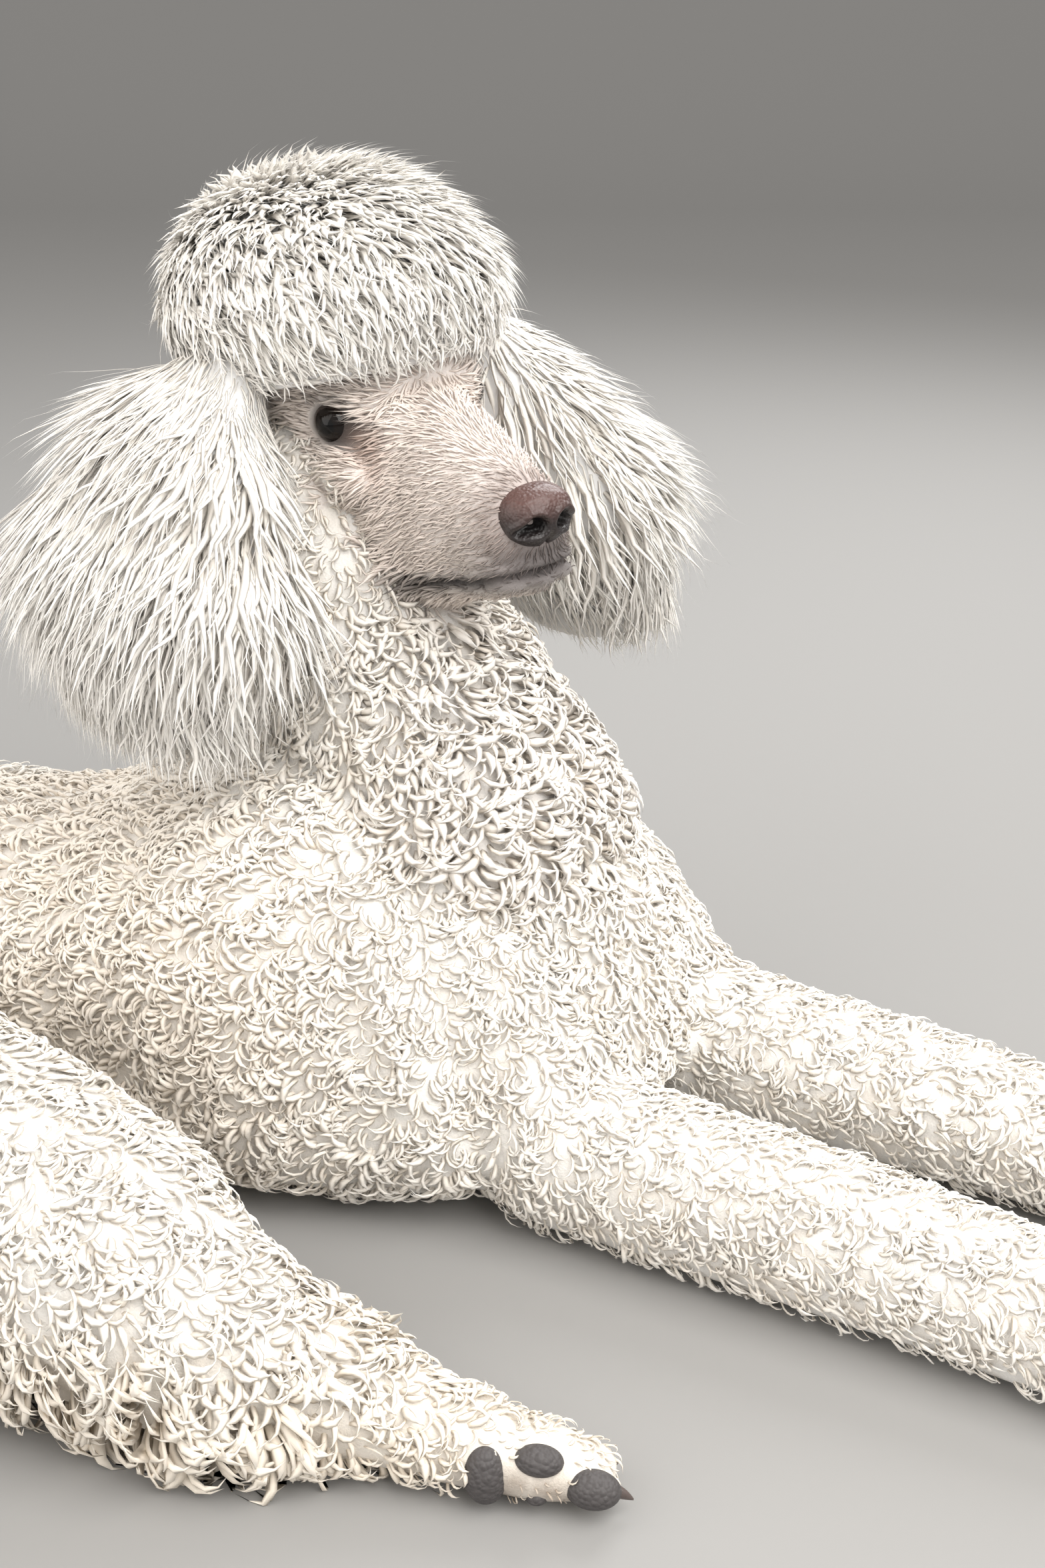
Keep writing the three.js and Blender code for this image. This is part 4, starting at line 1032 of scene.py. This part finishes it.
# side, name, where the hair ends, the size and the spacing of its locks
EARS = ((-1, "ear_right", -166, 1.0, 0.0023), (1, "ear_left", -182, 0.92, 0.0025))
for side, name, bottom, shrink, spacing in EARS:
    line = ear_line(side)
    leather = loft_piece("leather", line, 40, 44, -EAR_CORE_DEPTH)
    core = melted(name + "_core", [leather], 0.004, 2)
    shell, run = loft(line, 24, 40, -EAR_CORE_DEPTH)
    where = coordinates(core.data)
    flow = run.reshape(-1, 3)[nearest(shell.reshape(-1, 3), where)] + np.array((0, 0, -0.6))
    flow, _ = gathered(where, normals(core.data), flow, 0.011, 0.35, 9)
    bed = hair_bed(name + "_core", core, flow)
    ahead, aside, height = in_head(where).T
    aside = np.abs(aside)
    size = np.clip((height - bottom) / 86, 0.2, 1.0)
    lean = np.clip(0.3 - (height - bottom) / 160, -0.05, 0.25)
    outward = normals(core.data) @ HEAD[:3, 1] * side
    inner_front = (aside < 84) & (ahead > -45) & (height > -40) & (side < 0)
    size = np.where(inner_front, 0.45, size) * np.where(height > 2, 0.7, 1.0) * shrink
    outer = np.where((height > 22) & (aside < 78), 0.0, np.where((outward > -0.3) | inner_front, 1.0, 0.4))
    grower = patch_of(bed, outer, size, lean)
    coat = grown(name + "_hair", grower, WAVES, HAIR, spacing, 400000, 0.22, 0.08, 0.2, 41 + side)
    with_core(coat, bed)
    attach(coat, "root")
    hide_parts(name)


# ---------------------------------------------------------------- the topknot
# A brushed-up pouf over the skull. Soft straight hair stands out all round a close core and its
# tips break up into fine points; the fringe falls over the brows.
TOPKNOT_AT = np.array((-60.0, 0.0, 34.0))
TOPKNOT_HALF = np.array((96.0, 88.0, 68.0))
core = egg_piece("topknot_core", TOPKNOT_AT, TOPKNOT_HALF - 10, HEAD, sides=48, rings=36)
core = melted("topknot_core", [core], 0.004, 2)
FRINGE_AT = np.array((10.0, 0.0, 17.0))
FRINGE_SLOPE = np.array((0.36, 0.0, -1.0)) / 1.063
on_crest = in_head(coordinates(core.data))
too_low = np.maximum((on_crest - FRINGE_AT) @ FRINGE_SLOPE + 9, 0)
on_crest -= too_low[:, None] * FRINGE_SLOPE
where = placed(on_crest * MM, HEAD)
moved(core.data, where)
WHORL = TOPKNOT_AT + (-100, 0, 22)
flow = (on_crest - WHORL) * (1, 1, 0.8)
flow, _ = gathered(where, normals(core.data), flow @ HEAD[:3, :3].T, 0.010, 0.6, 10)
bed = hair_bed("topknot_core", core, flow)
tufts = []
for k in range(6):
    path = walked(0.033, 5, (72, 64, 62, 46, 40), 0.0022, 1.0 + 0.2 * k, chance.random())
    wide = 0.0011 if k > 4 else 0.0050 - 0.0005 * k
    tufts.append(lock_shape(f"tuft_{k}", path * (1.2 if k > 4 else 1.0), tapered(5, wide, 0.4, 0.05),
                            tapered(5, wide * 0.35, 0.4, 0.08)))
TUFTS = kinds_of("tufts", tufts)
below = (on_crest - FRINGE_AT) @ FRINGE_SLOPE
crest_size = np.clip(0.42 + (-below - 10) / 70, 0.42, 1.0)
crest_lean = np.clip(0.90 - (on_crest[:, 2] - 50) / 130, 0.6, 0.90)
grower = patch_of(bed, (below < -10) * 1.0, crest_size, crest_lean)
coat = grown("topknot_hair", grower, TUFTS, HAIR, 0.0019, 500000, 0.35, 0.16, 0.22, 51)
with_core(coat, bed)
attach(coat, "root")
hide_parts("topknot")


# ---------------------------------------------------------------- the tail's pom
# A round ball of brushed hair at the end of the tail, with the topknot's tufts standing out all
# round a small core, into which the tail's skin runs.
POM_AT, POM_RADIUS = np.array((-212.0, -408.0, 62.0)), 64.0
core = egg_piece("pom_core", POM_AT, np.full(3, POM_RADIUS - 26), GROUND, sides=36, rings=28)
core = melted("pom_core", [core], 0.005, 2)
where = coordinates(core.data)
bed = hair_bed("pom_core", core, np.tile(np.array((0.5, 0, -0.5)), (len(where), 1)))
grower = patch_of(bed, np.ones(len(where)), np.full(len(where), 0.8))
coat = grown("tail_pom_hair", grower, TUFTS, HAIR, 0.0030, 200000, 3.1, 0.4, 0.2, 61)
with_core(coat, bed)
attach(coat, "root")
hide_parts("tail_pom")


# ---------------------------------------------------------------- the hair of the face
# Short soft hair on the muzzle, cheeks and brows, brushed back from the nose and wavy over the
# lips, thin enough that the grey-pink skin shows between.
SHORT = hair_finish("face_hair", 1.2, (0.97, 0.94, 0.91), (1.10, 1.10, 1.08), 0.75, 0.0001)
wisps = []
for k in range(5):
    path = walked(0.0125, 3, (38, 16, 6, 0), 0.0008, 0.8, chance.random())
    wisps.append(lock_shape(f"wisp_{k}", path, tapered(3, 0.0014), tapered(3, 0.0009)))
WISPS = kinds_of("wisps", wisps)
eye_gap = np.minimum(*[np.linalg.norm((local - e - (4, 0, 0)) / (1.25, 1, 0.8), axis=1) for e in EYE_AT])
nose_gap = np.linalg.norm((local - NOSE_AT) / (15, 20, 16), axis=1)
face_density = np.where((eye_gap < 14.5) | (nose_gap < 0.88) | (mouth_distance(local) < 2), 0.0, 1.0)
face_density *= np.where(mouth_distance(local) < 7, 0.6, 1.0)
in_topknot = np.linalg.norm((local - TOPKNOT_AT) / (TOPKNOT_HALF - 24), axis=1) < 1
face_density[in_topknot] = 0
face_size = np.clip(1.25 - local[:, 0] / 160, 0.55, 1.3) + 1.1 * ramp(-local[:, 0], 12, 30)
face_lean = -0.25 * ramp(-local[:, 0], 40, 30)
under_jaw = ramp(-local[:, 2], 54, 10) * ramp(-local[:, 0], -70, 20)
face_size += 0.8 * under_jaw
face_lean -= 0.3 * under_jaw
bed = patch_of(skin, face_density, face_size, face_lean, region_of_face == REGIONS.index("head"))
coat = grown("face_hair", bed, WISPS, SHORT, 0.0015, 500000, 0.3, 0.12, 0.3, 71)
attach(coat, "root")


# ---------------------------------------------------------------- the studio
# A plain pale paper floor that curves up far behind, a broad soft key from the dog's front, a
# gentle fill, a light from behind, and a camera at the photograph's angle: 30 degrees off the
# dog's side, looking down 24 degrees.
BEND = 2.5
quarter = np.linspace(0, math.pi / 2, 13)
sweep = [(-9, 0), *((4 + BEND * math.sin(a), BEND - BEND * math.cos(a)) for a in quarter), (4 + BEND, 6)]
away, over = Vector((-0.5, 0.866, 0)), Vector((0.866, 0.5, 0))
paper_points = [away * d + over * x + Vector((0, 0, z)) for d, z in sweep for x in (-9, 9)]
strips = [(2 * i, 2 * i + 1, 2 * i + 3, 2 * i + 2) for i in range(len(sweep) - 1)]
floor = new_piece("studio_floor", paper_points, strips)
floor.data.shade_smooth()
paper = bpy.data.materials.new("paper")
paper.use_nodes = True
shader = paper.node_tree.nodes["Principled BSDF"]
shader.inputs["Base Color"].default_value = (0.30, 0.296, 0.29, 1)
shader.inputs["Roughness"].default_value = 0.9
floor.data.materials.append(paper)

world = bpy.data.worlds.new("studio")
world.use_nodes = True
sky = world.node_tree.nodes["Background"]
sky.inputs["Color"].default_value = (0.93, 0.91, 0.885, 1)
sky.inputs["Strength"].default_value = 0.84
SCENE.world = world

LAMPS_AIM = Vector((-0.1, 0, 0.2))
for name, place, size, power, colour in (
        ("key", (1.15, -0.40, 1.65), 1.8, 50, (1.0, 0.98, 0.95)),
        ("fill", (-1.1, -1.5, 1.2), 2.2, 24, (1.0, 0.96, 0.91)),
        ("rim", (-0.2, 1.5, 1.5), 1.2, 26, (1, 1, 1))):
    light = bpy.data.lights.new(name, "AREA")
    light.size = size
    light.energy = power
    light.color = colour
    piece = bpy.data.objects.new(name, light)
    piece.location = Vector(place) + SHIFT
    piece.rotation_euler = (LAMPS_AIM - Vector(place)).to_track_quat("-Z", "Y").to_euler()
    SCENE.collection.objects.link(piece)

camera_data = bpy.data.cameras.new("camera")
camera_data.sensor_fit = "VERTICAL"
camera_data.sensor_height = 36
camera_data.lens = 43.90
camera = bpy.data.objects.new("camera", camera_data)
tilt = 0.41484  # how far the camera looks down, in radians
look = Vector((-0.5 * math.cos(tilt), math.cos(math.radians(30)) * math.cos(tilt), -math.sin(tilt)))
camera.location = Vector((0.390, -0.802, 0.597)) + Vector((SHIFT.x, SHIFT.y, 0))
camera.rotation_euler = look.to_track_quat("-Z", "Y").to_euler()
SCENE.collection.objects.link(camera)
SCENE.camera = camera
SCENE.view_settings.view_transform = "Standard"
